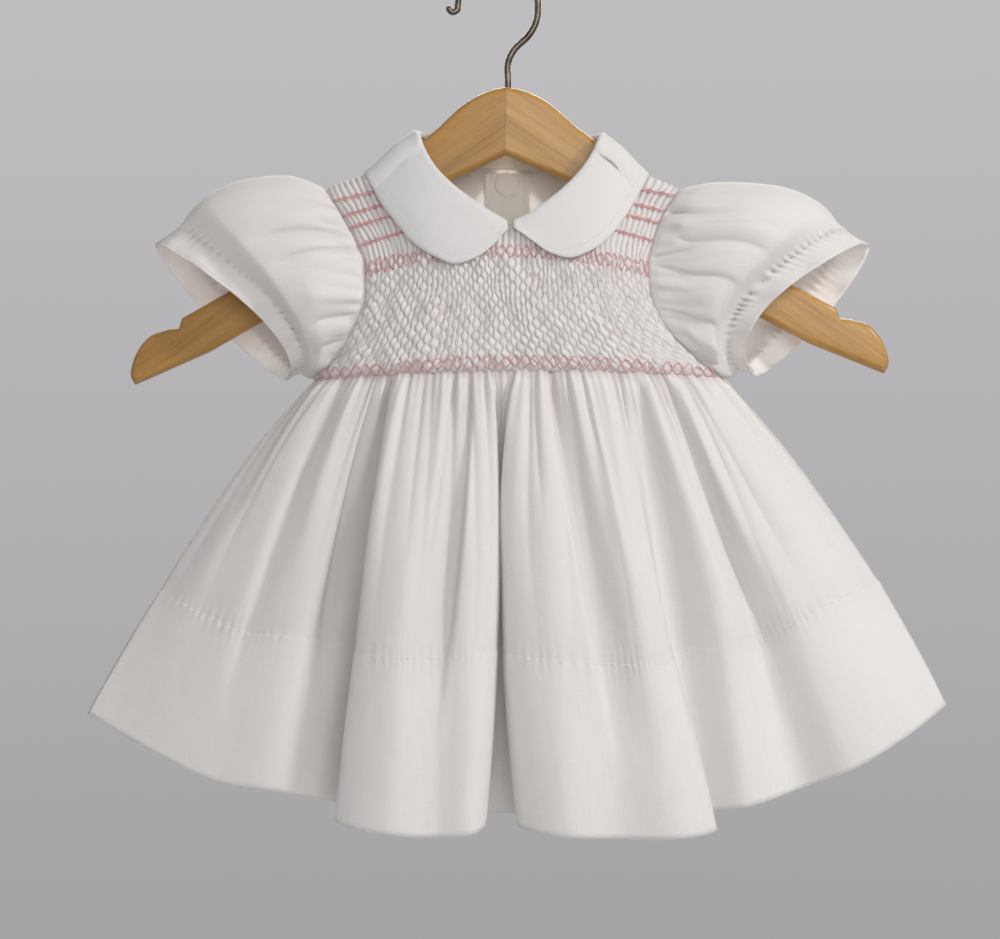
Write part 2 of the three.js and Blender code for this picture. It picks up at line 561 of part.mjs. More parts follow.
// Front, cut in one: smocked from the neck to the waist, gathered into folds below it
function frontPiece() {
  const { leftShoulder, neck, rightShoulder } = SMOCK_COLUMNS;
  const across = (x) => (x - LEFT_TIP.x) / (RIGHT_TIP.x - LEFT_TIP.x);
  const spans = [
    { from: 0, to: across(LEFT_NECK), count: leftShoulder },
    { from: across(LEFT_NECK), to: across(RIGHT_NECK), count: neck },
    { from: across(RIGHT_NECK), to: 1, count: rightShoulder },
  ];
  const columns = spans.flatMap(({ from, to, count }) =>
    steps(count).slice(0, -1).map((s) => lerp(from, to, s)),
  );
  columns.push(1);

  const puffed = (i, j) => {
    const edge = i === 0 || i === columns.length - 1 || j === 0;
    return edge || (i + j) % 2 === 1 ? 0 : PUFF_HEIGHT;
  };
  const smockedRow = (j) =>
    columns.map((a, i) => lifted(frontBodice, a, j / SMOCK_ROWS, puffed(i, j)));
  const smocking = steps(SMOCK_ROWS).map((_, j) => smockedRow(j));

  const folds = skirtFolds(FRONT_FOLDS);
  const skirt = (c, d) => skirtPoint(folds, (share) => frontBodice(share, 1), c, d);
  const downs = skirtRows(SKIRT_ROWS).slice(1);
  const skirtOuter = downs.map((d) =>
    steps(SKIRT_COLUMNS).map((c) => lifted(skirt, c, d, gather(folds.gathered(c), d))),
  );

  const inside = (surface, c, d, thick, inward) => {
    const inner = lifted(surface, c, d, -thick);
    if (c > 0 && c < 1) return inner;
    return mitred(inner, surface(c, d), surface(inward, d), 1);
  };
  const plainColumns = columns.filter((_, i) => i % 2 === 0);
  const plain = steps(SMOCK_ROWS / 2).map((d) =>
    plainColumns.map((a) => inside(frontBodice, a, d, CLOTH_THICK, Math.abs(a - 2 * EDGE_STEP))),
  );
  const skirtInner = downs
    .filter((_, k) => k % 2 === 1)
    .map((d) =>
      steps(SKIRT_COLUMNS).map((c) => inside(skirt, c, d, skirtThick(d), Math.abs(c - EDGE_STEP))),
    );
  return wall("front", lawn, [...smocking, ...skirtOuter], [...plain, ...skirtInner], {
    puffRows: SMOCK_ROWS,
  });
}

// Half of the back bodice, plain, from its armhole to the centre back
function backBodicePiece(name, side) {
  const surface = (across, down) => backBodice(side, across, down);
  const rows = steps(SMOCK_ROWS / 2);
  const columns = steps(BACK_BODICE_COLUMNS);
  const outer = rows.map((d) => columns.map((c) => surface(c, d)));
  const inner = rows.map((d) =>
    columns.map((c) => {
      const behind = lifted(surface, c, d, -CLOTH_THICK, side);
      if (c === 0) return mitred(behind, surface(c, d), surface(5 * EDGE_STEP, d), -1);
      if (c === 1) behind.x = side * HALF_SEAM;
      return behind;
    }),
  );
  return wall(name, lawn, outer, inner);
}

function backSkirtPiece() {
  const folds = skirtFolds(BACK_FOLDS);
  const waist = (share) => {
    const x = lerp(LEFT_UNDERARM.x, RIGHT_UNDERARM.x, share);
    const top = backAt(x, 1);
    top.z -= SEAM_GAP;
    return top;
  };
  const skirt = (c, d) => skirtPoint(folds, waist, c, d);
  const downs = skirtRows(BACK_ROWS);
  const columns = steps(BACK_COLUMNS);
  const outer = downs.map((d) =>
    columns.map((c) => lifted(skirt, c, d, d > 0 ? gather(folds.gathered(c), d) : 0, -1)),
  );
  const inner = downs
    .filter((_, k) => k % 2 === 0)
    .map((d) =>
      columns.map((c) => {
        const behind = lifted(skirt, c, d, -skirtThick(d), -1);
        if (d === 0) behind.z = skirt(c, d).z;
        if (c > 0 && c < 1) return behind;
        return mitred(behind, skirt(c, d), skirt(Math.abs(c - EDGE_STEP), d), -1);
      }),
    );
  return wall("back_skirt", lawn, outer, inner);
}

// A sleeve, its frill cut in one with it; side is -1 for the left one and 1 for the right one
function sleevePiece(name, side, sections) {
  const frontEdge = side < 0 ? 0 : 1;
  const edgeOf = {
    front: (inset, down) => frontBodice(Math.abs(frontEdge - inset), down),
    back: (inset, down) => backBodice(side, inset, down),
  };
  // The armhole, moved off the bodice's edge by the seam's gap
  const ring = (turn) => {
    const front = turn <= 0.5;
    const down = front ? 2 * turn : 2 - 2 * turn;
    const panel = front ? edgeOf.front : edgeOf.back;
    const at = panel(0, down);
    const along = panel(0, down + TINY).sub(panel(0, down - TINY)).normalize();
    const beside = clamp(down, EDGE_STEP, 1 - EDGE_STEP);
    const into = panel(3 * EDGE_STEP, beside).sub(panel(0, beside));
    into.addScaledVector(along, -into.dot(along)).normalize();
    at.addScaledVector(into, -SLEEVE_SEAM);
    if (turn === 0 || turn === 0.5) at.y = 0;
    return at;
  };
  const column = (value) => smoothThrough(sections, "at", value);
  const [topX, topZ, baseX, baseZ] = ["topX", "topZ", "baseX", "baseZ"].map(column);
  const [front, back] = ["front", "back"].map(column);
  const [frontLean, backLean, skewOf] = ["frontLean", "backLean", "skew"].map(column);
  const first = sections[0].at;

  const section = (turn, out) => {
    const down = turn <= 0.5 ? 2 * turn : 2 - 2 * turn;
    const bySeam = Math.acos(clamp(1 - 2 * down, -1, 1));
    const half = lerp(bySeam, Math.PI * down, clamp(out / SLEEVE_EVENS_OUT, 0, 1));
    const angle = turn <= 0.5 ? half : 2 * Math.PI - half;
    const top = point(topX(out), 0, topZ(out));
    const base = point(baseX(out), 0, baseZ(out));
    const chord = top.clone().sub(base);
    const lean = point(-side * Math.abs(chord.z), 0, Math.abs(chord.x)).normalize();
    const middle = top.clone().add(base).multiplyScalar(0.5);
    const sway = Math.sin(angle);
    const forward = sway > 0;
    const depth = (forward ? front(out) : back(out)) * sway;
    const skew = 1 - skewOf(out) * Math.cos(angle);
    const across = (forward ? frontLean(out) * skew : backLean(out)) * Math.abs(sway);
    return middle
      .addScaledVector(chord, Math.cos(angle) / 2)
      .addScaledVector(lean, across)
      .add(point(0, -depth, 0));
  };
  const surface = (turn, out) => {
    const whole = ((turn % 1) + 1) % 1;
    if (out >= first) return section(whole, Math.min(out, 1));
    const eased = clamp(out / first, 0, 1);
    return ring(whole).lerp(section(whole, first), eased);
  };
  const frill = (turn, out) => {
    const grown = clamp((out - FRILL.starts) / (1 - FRILL.starts), 0, 1);
    return FRILL.wave * grown * Math.cos(2 * Math.PI * SLEEVE_GATHERS * turn + FRILL.phase);
  };
  const fullness = (turn, out) => {
    const { height, fullest, reach, starts, growth } = SLEEVE_GATHER;
    const near = clamp(1 - Math.abs(out - fullest) / reach, 0, 1);
    const grown = clamp((out - starts) / growth, 0, 1);
    return height * near * grown * wave(SLEEVE_GATHERS * turn);
  };
  const outs = steps(SLEEVE_ROWS).map((s) => s ** SLEEVE_ROWS_CROWDING);
  const around = steps(SLEEVE_AROUND).slice(0, -1);
  const turned = -side;
  const outer = outs.map((out) =>
    around.map((turn) =>
      lifted(surface, turn, out, frill(turn, out) + fullness(turn, out), turned),
    ),
  );
  const inner = outs
    .filter((_, k) => k % 2 === 0)
    .map((out) =>
      around.map((turn) => lifted(surface, turn, out, frill(turn, out) - CLOTH_THICK, turned)),
    );
  return wall(name, lawn, outer, inner, { tube: true });
}

// Where on the front bodice a point seen at x and z lies
function onFront(x, z) {
  let [a, down] = [0.5, 0.3];
  for (let turn = 0; turn < 12; turn += 1) {
    const left = frontBodice(0, down).x;
    const right = frontBodice(1, down).x;
    a = (x - left) / (right - left);
    down = levelOf((d) => frontBodice(a, d).z, z);
  }
  return { a, down };
}

function onBack(side, x, z) {
  let [across, down] = [0.5, 0.3];
  for (let turn = 0; turn < 12; turn += 1) {
    const edge = backBodice(side, 0, down).x;
    across = (x - edge) / (side * HALF_SEAM - edge);
    down = levelOf((d) => backBodice(side, across, d).z, z);
  }
  return { a: across, down };
}

// The share down at which a falling height reaches z
function levelOf(height, z) {
  let [low, high] = [0, 1];
  for (let turn = 0; turn < 30; turn += 1) {
    const half = (low + high) / 2;
    if (height(half) > z) low = half;
    else high = half;
  }
  return (low + high) / 2;
}

// Half of the collar, double cloth that stands at the neck, rolls over and lies on the bodice
function collarPiece(name, side, frontRows) {
  const backRows = COLLAR_BACK.map((row) => ({
    ...row,
    neckX: side * row.neckX * (side > 0 ? 1 + RIGHT_NECK_IS_WIDER_BY : 1),
    edgeX: side * row.edgeX,
  }));
  const shoulder = {
    station: COLLAR_SHOULDER.station,
    neckX: side < 0 ? LEFT_NECK : RIGHT_NECK,
    edgeX: side < 0 ? COLLAR_SHOULDER.left : COLLAR_SHOULDER.right,
    edgeZ: shoulderHeight(side < 0 ? COLLAR_SHOULDER.left : COLLAR_SHOULDER.right),
    stand: COLLAR_SHOULDER.stand,
  };
  const tip = side < 0 ? LEFT_TIP.x : RIGHT_TIP.x;
  const panels = {
    front: {
      surface: frontBodice,
      facing: 1,
      across: (x) => (x - LEFT_TIP.x) / (RIGHT_TIP.x - LEFT_TIP.x),
      find: onFront,
    },
    back: {
      surface: (a, down) => backBodice(side, a, down),
      facing: side,
      across: (x) => (x - tip) / (side * HALF_SEAM - tip),
      find: (x, z) => onBack(side, x, z),
    },
  };
  const curves = (rows) => {
    const through = (value) => smoothThrough(rows, "station", value);
    const [neckX, edgeX, edgeZ, stand] = ["neckX", "edgeX", "edgeZ", "stand"].map(through);
    return { neckX, edgeX, edgeZ, stand };
  };
  const front = curves([...frontRows, shoulder]);
  const back = curves([shoulder, ...backRows]);
  const last = COLLAR_BACK.at(-1).station;

  // The collar's middle surface: share 0 at the neck seam, 1 at the outer edge
  const section = (station) => {
    const behind = station > COLLAR_SHOULDER.station;
    const { neckX, edgeX, edgeZ, stand } = behind ? back : front;
    const { surface, facing, across, find } = behind ? panels.back : panels.front;
    const neck = (at) => surface(across(neckX(clamp(at, 0, last))), 0);
    const rim = neck(station);
    const normal = outward(surface, across(neckX(station)), 2 * EDGE_STEP, facing);
    const runs = neck(station + 5 * EDGE_STEP).sub(neck(station - 5 * EDGE_STEP)).normalize();
    const inward = runs.cross(normal).normalize().multiplyScalar(-side);
    const height = stand(station);
    const roll = COLLAR_ROLL;
    const raised = clamp(height / COLLAR_SHOULDER.stand, 0, 1);
    const rise = roll.footRise * raised ** 2 - CLOTH_THICK / 2;
    const foot = rim
      .clone()
      .addScaledVector(inward, SEAM_GAP + COLLAR_THICK / 2 + roll.footInset)
      .addScaledVector(normal, rise);
    const up = point(0, 0, 1);
    const level = point(normal.x, normal.y, 0).addScaledVector(inward, -roll.inwardLean);
    level.z = 0;
    level.normalize();
    const riser = foot.clone().addScaledVector(up, height * roll.riser);
    const crest = foot
      .clone()
      .addScaledVector(up, height + roll.crestRise)
      .addScaledVector(level, roll.crestReach);
    const onPanel = (share, lift) => {
      const x = lerp(rim.x, edgeX(station), share);
      const edgeDrop = shoulderHeight(edgeX(station)) - edgeZ(station);
      const drop = lerp(shoulderHeight(rim.x) - rim.z, edgeDrop, share);
      const { a, down } = find(x, shoulderHeight(x) - drop);
      return lifted(surface, a, Math.max(down, ON_PANEL_FROM), COLLAR_LIFT + lift, facing);
    };
    const width = Math.hypot(edgeX(station) - rim.x, edgeZ(station) - rim.z);
    const fall = clamp(roll.fallWidth / width, roll.leastFall, roll.mostFall);
    const { first, second } = COLLAR_RESTS;
    const route = [
      foot,
      riser,
      crest,
      onPanel(fall, roll.turnLift + height * roll.turnShare),
      onPanel(lerp(fall, 1, first), roll.restLift + height * roll.restShare),
      onPanel(lerp(fall, 1, second), roll.restLift),
      onPanel(1, 0),
    ];
    return new THREE.CatmullRomCurve3(route, false, "centripetal");
  };
  const { station: top } = COLLAR_SHOULDER;
  const crowd = (s) => s ** COLLAR_STATIONS.crowding;
  const stations = [
    ...steps(COLLAR_STATIONS.front).map((s) => top - top * crowd(1 - s)),
    ...steps(COLLAR_STATIONS.back).slice(1).map((s) => top + (last - top) * crowd(s)),
  ];
  const sections = stations.map((station) => section(station));
  const grid = COLLAR_SHARES.map((share) => sections.map((curve) => curve.getPoint(share)));
  const half = COLLAR_THICK / 2;
  const offset = (distance) =>
    grid.map((row, j) =>
      row.map((p, i) => {
        const along = row[Math.min(i + 1, row.length - 1)].clone().sub(row[Math.max(i - 1, 0)]);
        const below = grid[Math.min(j + 1, grid.length - 1)][i];
        const down = below.clone().sub(grid[Math.max(j - 1, 0)][i]);
        const normal = along.cross(down).normalize().multiplyScalar(side);
        return p.clone().addScaledVector(normal, distance);
      }),
    );
  return wall(name, collarCloth, offset(half), offset(-half));
}

// A straight strip of the centre back opening, laid on the bodice's outside or inside
function placketPiece(name, near, far) {
  const { halfWidth, top, bottom, divisions } = PLACKET;
  const xs = steps(divisions).map((s) => lerp(-halfWidth, halfWidth, s));
  const downs = steps(divisions).map((s) => lerp(top, bottom, s));
  const layer = (lift) =>
    downs.map((down) =>
      xs.map((x) => {
        const side = x < 0 ? -1 : 1;
        const normal = outward((across, d) => backBodice(side, across, d), NEAR_CENTRE, down, side);
        const at = backAt(x, down);
        return at.addScaledVector(normal.setX(0).normalize(), lift);
      }),
    );
  return wall(name, lawn, layer(far), layer(near));
}

// The tape that finishes the inside of the back neck
function bindingPiece() {
  const { halfWidth, divisions, downs } = BINDING;
  const xs = steps(divisions).map((s) => lerp(-halfWidth, halfWidth, s));
  const layer = (lift) =>
    downs.map((down) =>
      xs.map((x) => {
        const side = x < 0 ? -1 : 1;
        const edge = backBodice(side, 0, down).x;
        const across = Math.min((x - edge) / (side * HALF_SEAM - edge), 1 - 2 * TINY);
        return lifted((c, d) => backBodice(side, c, d), across, down, lift, side);
      }),
    );
  const near = -CLOTH_THICK - SEAM_GAP;
  return wall("neck_binding", lawn, layer(near), layer(near - TAPE_THICK));
}

function buttonPiece(name, level) {
  const { radius, thick, rim, dish, edge, sides } = BUTTON;
  const profile = [
    [0, 0],
    [radius - edge, 0],
    [radius, edge],
    [radius, thick - edge],
    [radius - edge, thick],
    [radius - rim, thick],
    [radius - rim - edge, thick - dish],
    [0, thick - dish],
  ].map(([r, h]) => new THREE.Vector2(r, h));
  const disc = mergeVertices(bare(new THREE.LatheGeometry(profile, sides)), TINY);
  const button = new THREE.Mesh(disc, pearl);
  button.name = name;
  const down = levelOf((d) => backAt(SEAM_GAP, d).z, level);
  const facing = outward((across, d) => backBodice(1, across, d), NEAR_CENTRE, down);
  facing.setX(0).normalize();
  const seat = backAt(SEAM_GAP, down).addScaledVector(facing, 2 * SEAM_GAP + CLOTH_THICK + HALF_SEAM);
  button.position.set(0, seat.y, seat.z);
  button.quaternion.setFromUnitVectors(point(0, 1, 0), facing);
  return button;
}

function bare(geometry) {
  geometry.deleteAttribute("normal");
  geometry.deleteAttribute("uv");
  return geometry;
}

// The hanger
const wasm = await Module();
wasm.setup();

function solidOf(geometry) {
  const merged = mergeVertices(bare(geometry), TINY);
  return new wasm.Manifold(
    new wasm.Mesh({
      numProp: 3,
      vertProperties: merged.attributes.position.array,
      triVerts: new Uint32Array(merged.index.array),
    }),
  );
}

function geometryOf(solid) {
  const { numProp, vertProperties, triVerts } = solid.getMesh();
  const geometry = new THREE.BufferGeometry();
  geometry.setAttribute("position", new THREE.BufferAttribute(vertProperties, numProp));
  geometry.setIndex(new THREE.BufferAttribute(triVerts, 1));
  geometry.computeVertexNormals();
  return geometry;
}

// One arm: its outline runs past the mitre, is thickened with rounded edges, mirrored for the
// left side, swept back and tilted, and then cut at the mitre and bored for the hook's shaft
function hangerArm(name, side, shaft) {
  const at = ({ x, z }) => new THREE.Vector2(x, z);
  const outline = new THREE.Shape();
  outline.moveTo(-MITRE_SPARE, HANGER_TOP[0].z);
  outline.lineTo(HANGER_TOP[0].x, HANGER_TOP[0].z);
  outline.splineThru(HANGER_TOP.slice(1).map(at));
  HANGER_END.forEach(({ x, z }) => outline.lineTo(x, z));
  outline.splineThru(HANGER_TIP.map(at));
  HANGER_UNDER.forEach(({ x, z }) => outline.lineTo(x, z));
  outline.lineTo(-MITRE_SPARE, HANGER_UNDER.at(-1).z);
  const board = new THREE.ExtrudeGeometry(outline, {
    depth: HANGER_THICK - 2 * HANGER_ROUNDING,
    bevelThickness: HANGER_ROUNDING,
    bevelSize: HANGER_ROUNDING,
    bevelOffset: -HANGER_ROUNDING,
    bevelSegments: 2,
    curveSegments: 4,
    steps: 1,
  });
  board.translate(0, 0, HANGER_ROUNDING - HANGER_THICK / 2);
  board.rotateX(Math.PI / 2);
  const shape = mergeVertices(bare(board), TINY);
  const position = shape.getAttribute("position");
  for (let k = 0; k < position.count; k += 1) {
    const out = position.getX(k);
    position.setXYZ(
      k,
      side * out + HANGER_MIDDLE.x,
      position.getY(k) + out * HANGER_SWEEP - HANGER_FORWARD,
      position.getZ(k) + side * out * Math.sin(HANGER_TILT),
    );
  }
  if (side < 0) {
    const ids = shape.index.array;
    for (let k = 0; k < ids.length; k += 3) [ids[k + 1], ids[k + 2]] = [ids[k + 2], ids[k + 1]];
  }
  const spare = new THREE.BoxGeometry(2 * MITRE_SPARE, BOARD.depth, BOARD.height);
  spare.translate(HANGER_MIDDLE.x + side * (HALF_SEAM - MITRE_SPARE), 0, HANGER_MIDDLE.z);
  const solid = solidOf(shape).subtract(solidOf(spare)).subtract(shaft);
  const mesh = new THREE.Mesh(geometryOf(solid), maple);
  mesh.name = name;
  return mesh;
}

function shaftBore() {
  const { radius, depth } = SHAFT_BORE;
  const bore = new THREE.CylinderGeometry(radius, radius, depth, WIRE_DIVISIONS.around);
  bore.rotateX(Math.PI / 2);
  bore.translate(HOOK.shaftX, 0, HOOK.shaftFoot + depth / 2 - SEAM_GAP);
  return solidOf(bore);
}

// The hook's wire: up from the wood, round its loop and out at the tip
function hookPiece() {
  const loopMiddle = WIRE_RADIUS - HOOK.height;
  const arc = (from, to, count) =>
    steps(count).map((s) => {
      const angle = lerp(from, to, s);
      const reach = Math.cos(angle) > 0 ? HOOK.right : HOOK.left;
      const z = loopMiddle + HOOK.height * Math.sin(angle);
      return point(reach * Math.cos(angle), 0, z);
    });
  const route = [
    point(HOOK.shaftX, 0, HOOK.shaftFoot),
    point(HOOK.shaftX, 0, (HOOK.shaftFoot + HOOK_LOWER[0].z) / 2),
    ...HOOK_LOWER.map(({ x, z }) => point(x, 0, z)),
    ...arc(0, Math.PI, WIRE_DIVISIONS.loop),
    ...HOOK_TIP.map(({ x, z }) => point(x, 0, z)),
  ];
  const section = new THREE.Shape();
  steps(WIRE_DIVISIONS.around).forEach((s, k) => {
    const angle = 2 * Math.PI * s;
    const at = [WIRE_RADIUS * Math.cos(angle), WIRE_RADIUS * Math.sin(angle)];
    if (k === 0) section.moveTo(...at);
    else section.lineTo(...at);
  });
  const wire = new THREE.ExtrudeGeometry(section, {
    steps: WIRE_DIVISIONS.along,
    extrudePath: new THREE.CatmullRomCurve3(route, false, "centripetal"),
  });
  const hook = new THREE.Mesh(mergeVertices(bare(wire), TINY), pewter);
  hook.name = "hanger_hook";
  return hook;
}

const dress = new THREE.Group();
dress.add(frontPiece());
dress.add(backBodicePiece("back_bodice_left", -1));
dress.add(backBodicePiece("back_bodice_right", 1));
dress.add(backSkirtPiece());
dress.add(sleevePiece("sleeve_left", -1, LEFT_SLEEVE));
dress.add(sleevePiece("sleeve_right", 1, RIGHT_SLEEVE));
dress.add(collarPiece("collar_left", -1, LEFT_COLLAR_FRONT));
dress.add(collarPiece("collar_right", 1, RIGHT_COLLAR_FRONT));
dress.add(placketPiece("placket_overlap", SEAM_GAP, SEAM_GAP + CLOTH_THICK));
dress.add(placketPiece("placket_underlap", -CLOTH_THICK - SEAM_GAP, -2 * CLOTH_THICK - SEAM_GAP));
dress.add(bindingPiece());
Object.entries(BUTTON_LEVELS).forEach(([place, level]) => {
  dress.add(buttonPiece("button_" + place, level));
});

const bore = shaftBore();
const hanger = new THREE.Group();
hanger.add(hangerArm("hanger_arm_left", -1, bore));
hanger.add(hangerArm("hanger_arm_right", 1, bore));
hanger.add(hookPiece());

const hungDress = new THREE.Group();
hungDress.add(dress, hanger);

export default hungDress;
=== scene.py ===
"""A baby's smocked dress on a wooden hanger: its cloth, stitches, buttons, wood and wire.

Lengths are in millimetres until a mesh is made, X runs to the right, the front faces -Y and +Z is up.
"""
import logging
import math
from dataclasses import dataclass
from enum import Enum
from functools import partial, reduce
from typing import Callable, NamedTuple, Optional, Sequence

import bmesh
import bpy
import numpy as np
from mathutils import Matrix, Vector
from mathutils.geometry import tessellate_polygon


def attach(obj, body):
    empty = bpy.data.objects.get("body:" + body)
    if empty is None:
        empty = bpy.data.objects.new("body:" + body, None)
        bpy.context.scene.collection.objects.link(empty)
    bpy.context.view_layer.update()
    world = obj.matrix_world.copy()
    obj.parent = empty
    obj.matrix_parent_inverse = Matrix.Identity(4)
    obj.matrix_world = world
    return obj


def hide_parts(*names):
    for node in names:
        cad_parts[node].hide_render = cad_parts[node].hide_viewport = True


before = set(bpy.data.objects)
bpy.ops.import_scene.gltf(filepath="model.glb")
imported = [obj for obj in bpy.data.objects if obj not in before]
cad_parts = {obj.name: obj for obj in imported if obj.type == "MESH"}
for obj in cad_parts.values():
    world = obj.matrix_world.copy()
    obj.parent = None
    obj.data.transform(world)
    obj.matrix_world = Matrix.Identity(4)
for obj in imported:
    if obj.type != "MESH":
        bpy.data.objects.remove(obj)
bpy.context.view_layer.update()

LOG = logging.getLogger("dress")
MM = 0.001
TINY = 1e-3
HALVINGS = 24
SEWING_THREAD = 0.16
ROOT = "root"
Surface = Callable[[np.ndarray, np.ndarray], np.ndarray]
Colour = tuple[float, float, float]
Place = tuple[float, float]
Faces = list[tuple[int, ...]]
Socket = bpy.types.NodeSocket


class Side(Enum):
    """A side of the dress as it is seen from the front."""

    LEFT = -1
    RIGHT = 1


class Held(Enum):
    """The way that a sheet of cloth is held."""

    HUNG = "hung"
    GATHERED = "gathered"
    FOLDED = "folded"


class Slot(Enum):
    """The finishes that the record names."""

    LAWN = "lawn"
    COLLAR = "collar_cloth"
    PEARL = "pearl"
    MAPLE = "maple"
    PEWTER = "pewter"


def lerp(low: np.ndarray, high: np.ndarray, share: np.ndarray) -> np.ndarray:
    """The value that lies a share of the way from low to high."""
    return low + (high - low) * share


def ease(share: np.ndarray) -> np.ndarray:
    """A share from 0 to 1 that starts and ends gently."""
    held = np.clip(share, 0, 1)
    return held * held * (3 - 2 * held)


def unit(vectors: np.ndarray) -> np.ndarray:
    """The same directions, each 1 long."""
    return vectors / np.maximum(np.linalg.norm(vectors, axis=-1, keepdims=True), 1e-12)


def points(x: np.ndarray, y: np.ndarray, z: np.ndarray) -> np.ndarray:
    """Points from their three coordinates, of any shapes that fit each other."""
    return np.stack(np.broadcast_arrays(x, y, z), axis=-1).astype(float)


def bump(x: np.ndarray, width: float) -> np.ndarray:
    """A soft hump that is 1 at x = 0 and fades over the width."""
    return np.exp(-((x / width) ** 2))


@dataclass(frozen=True)
class Curve:
    """A smooth curve of one value along another, through the rows of a table."""

    at: np.ndarray
    level: np.ndarray
    slope: np.ndarray

    @classmethod
    def smooth(cls, at: Sequence[float], level: Sequence[float]) -> "Curve":
        """Make a curve that never overshoots its rows.

        Args:
            at: Where the rows lie, rising.
            level: The value at each row.

        Returns:
            The curve.
        """
        at, level = np.array(at, float), np.array(level, float)
        rise = np.diff(level) / np.diff(at)
        slope = np.empty_like(level)
        slope[0], slope[-1] = rise[0], rise[-1]
        before, after = rise[:-1], rise[1:]
        total = np.where(before * after > 0, before + after, 1)
        slope[1:-1] = np.where(before * after > 0, 2 * before * after / total, 0)
        return cls(at, level, slope)

    @classmethod
    def round(cls, at: Sequence[float], level: Sequence[float]) -> "Curve":
        """Make a rounder curve, for folds that turn back on themselves.

        Args:
            at: Where the rows lie, rising.
            level: The value at each row.

        Returns:
            The curve.
        """
        at, level = np.array(at, float), np.array(level, float)
        after = np.minimum(np.arange(len(at)) + 1, len(at) - 1)
        before = np.maximum(np.arange(len(at)) - 1, 0)
        return cls(at, level, (level[after] - level[before]) / (at[after] - at[before]))

    def __call__(self, x: np.ndarray) -> np.ndarray:
        """Read the curve.

        Args:
            x: Where to read it, held inside the table's ends.

        Returns:
            The value at each x.
        """
        k = np.clip(np.searchsorted(self.at, x, side="left") - 1, 0, len(self.at) - 2)
        width = self.at[k + 1] - self.at[k]
        s = np.clip((x - self.at[k]) / width, 0, 1)
        rise = s * s * (3 - 2 * s)
        turn = width * s * (1 - s) * ((1 - s) * self.slope[k] - s * self.slope[k + 1])
        return self.level[k] * (1 - rise) + self.level[k + 1] * rise + turn


@dataclass(frozen=True)
class Unevenness:
    """Smooth irregular variation, the same on each run, as hand work and cloth have."""

    seed: int
    waves: int = 6

    def __call__(self, x: np.ndarray, y: np.ndarray) -> np.ndarray:
        """Read the variation.

        Args:
            x: The first coordinate, in the steps over which it changes.
            y: The second coordinate, in the same steps.

        Returns:
            Values of about -1 to 1.
        """
        rng = np.random.default_rng(self.seed)
        total = 0.0
        for _ in range(self.waves):
            angle, phase = rng.uniform(0, math.tau, 2)
            pace = rng.uniform(0.6, 1.7)
            total = total + np.sin(pace * (x * math.cos(angle) + y * math.sin(angle)) + phase)
        return total / math.sqrt(self.waves)


def outward(surface: Surface, across: np.ndarray, down: np.ndarray, side: int = 1) -> np.ndarray:
    """The outward direction of a surface.

    Args:
        surface: The surface, of a share across and a share down.
        across: The shares across.
        down: The shares down.
        side: 1 where across runs to the right as seen from outside, -1 where it runs to the left.

    Returns:
        Unit vectors.
    """
    run = surface(across + TINY, down) - surface(across - TINY, down)
    fall = surface(across, down + TINY) - surface(across, down - TINY)
    return unit(np.cross(fall, run)) * side


def lifted(
    surface: Surface, across: np.ndarray, down: np.ndarray, lift: np.ndarray, side: int = 1
) -> np.ndarray:
    """Points of a surface at shares across and down, each moved out from it by its lift."""
    away = outward(surface, across, down, side)
    return surface(across, down) + away * np.asarray(lift, float)[..., None]


def walls(
    surface: Surface, across: np.ndarray, down: np.ndarray, relief: np.ndarray, thick: np.ndarray, side: int
) -> tuple[np.ndarray, np.ndarray]:
    """The outside of thick cloth that stands out of a surface by its relief, and the inside."""
    outer = lifted(surface, across, down, relief, side)
    return outer, lifted(surface, across, down, relief - thick, side)


def down_to(surface: Surface, across: np.ndarray, level: np.ndarray) -> np.ndarray:
    """Find the share down at which a surface reaches a height.

    Args:
        surface: The surface, of a share across and a share down.
        across: The shares across.
        level: The heights.

    Returns:
        The shares down.
    """
    low, high = np.zeros_like(across), np.ones_like(across)
    for _ in range(HALVINGS):
        half = (low + high) / 2
        above = surface(across, half)[..., 2] > level
        low, high = np.where(above, half, low), np.where(above, high, half)
    return (low + high) / 2


def rounded(control: np.ndarray, shares: np.ndarray) -> np.ndarray:
    """Rounded curves through control points.

    Args:
        control: The control points of each curve.
        shares: Where each curve is read, from 0 to 1.

    Returns:
        A row of points for each share.
    """
    before = 2 * control[:, :1] - control[:, 1:2]
    after = 2 * control[:, -1:] - control[:, -2:-1]
    full = np.concatenate([before, control, after], axis=1)
    rows = []
    for share in shares:
        place = share * (control.shape[1] - 1)
        k = min(int(place), control.shape[1] - 2)
        s = place - k
        p0, p1, p2, p3 = (full[:, k + step] for step in range(4))
        one, two, three = (
            np.linalg.norm(b - a, axis=-1, keepdims=True) ** 0.5 for a, b in ((p0, p1), (p1, p2), (p2, p3))
        )
        start = ((p1 - p0) / one - (p2 - p0) / (one + two) + (p2 - p1) / two) * two
        end = ((p2 - p1) / two - (p3 - p1) / (two + three) + (p3 - p2) / three) * two
        rise = s * s * (3 - 2 * s)
        rows.append(p1 * (1 - rise) + p2 * rise + start * s * (1 - s) ** 2 - end * s * s * (1 - s))
    return np.stack(rows)


def grid_faces(ids: np.ndarray, closed: bool = False) -> Faces:
    """Squares between the rows and columns of a grid of point numbers.

    Args:
        ids: The point numbers, row by row.
        closed: Whether each row closes on itself.

    Returns:
        Four point numbers for each square.
    """
    if closed:
        ids = np.concatenate([ids, ids[:, :1]], axis=1)
    corners = [ids[:-1, :-1], ids[1:, :-1], ids[1:, 1:], ids[:-1, 1:]]
    return [tuple(face) for face in np.stack(corners, axis=-1).reshape(-1, 4).tolist()]


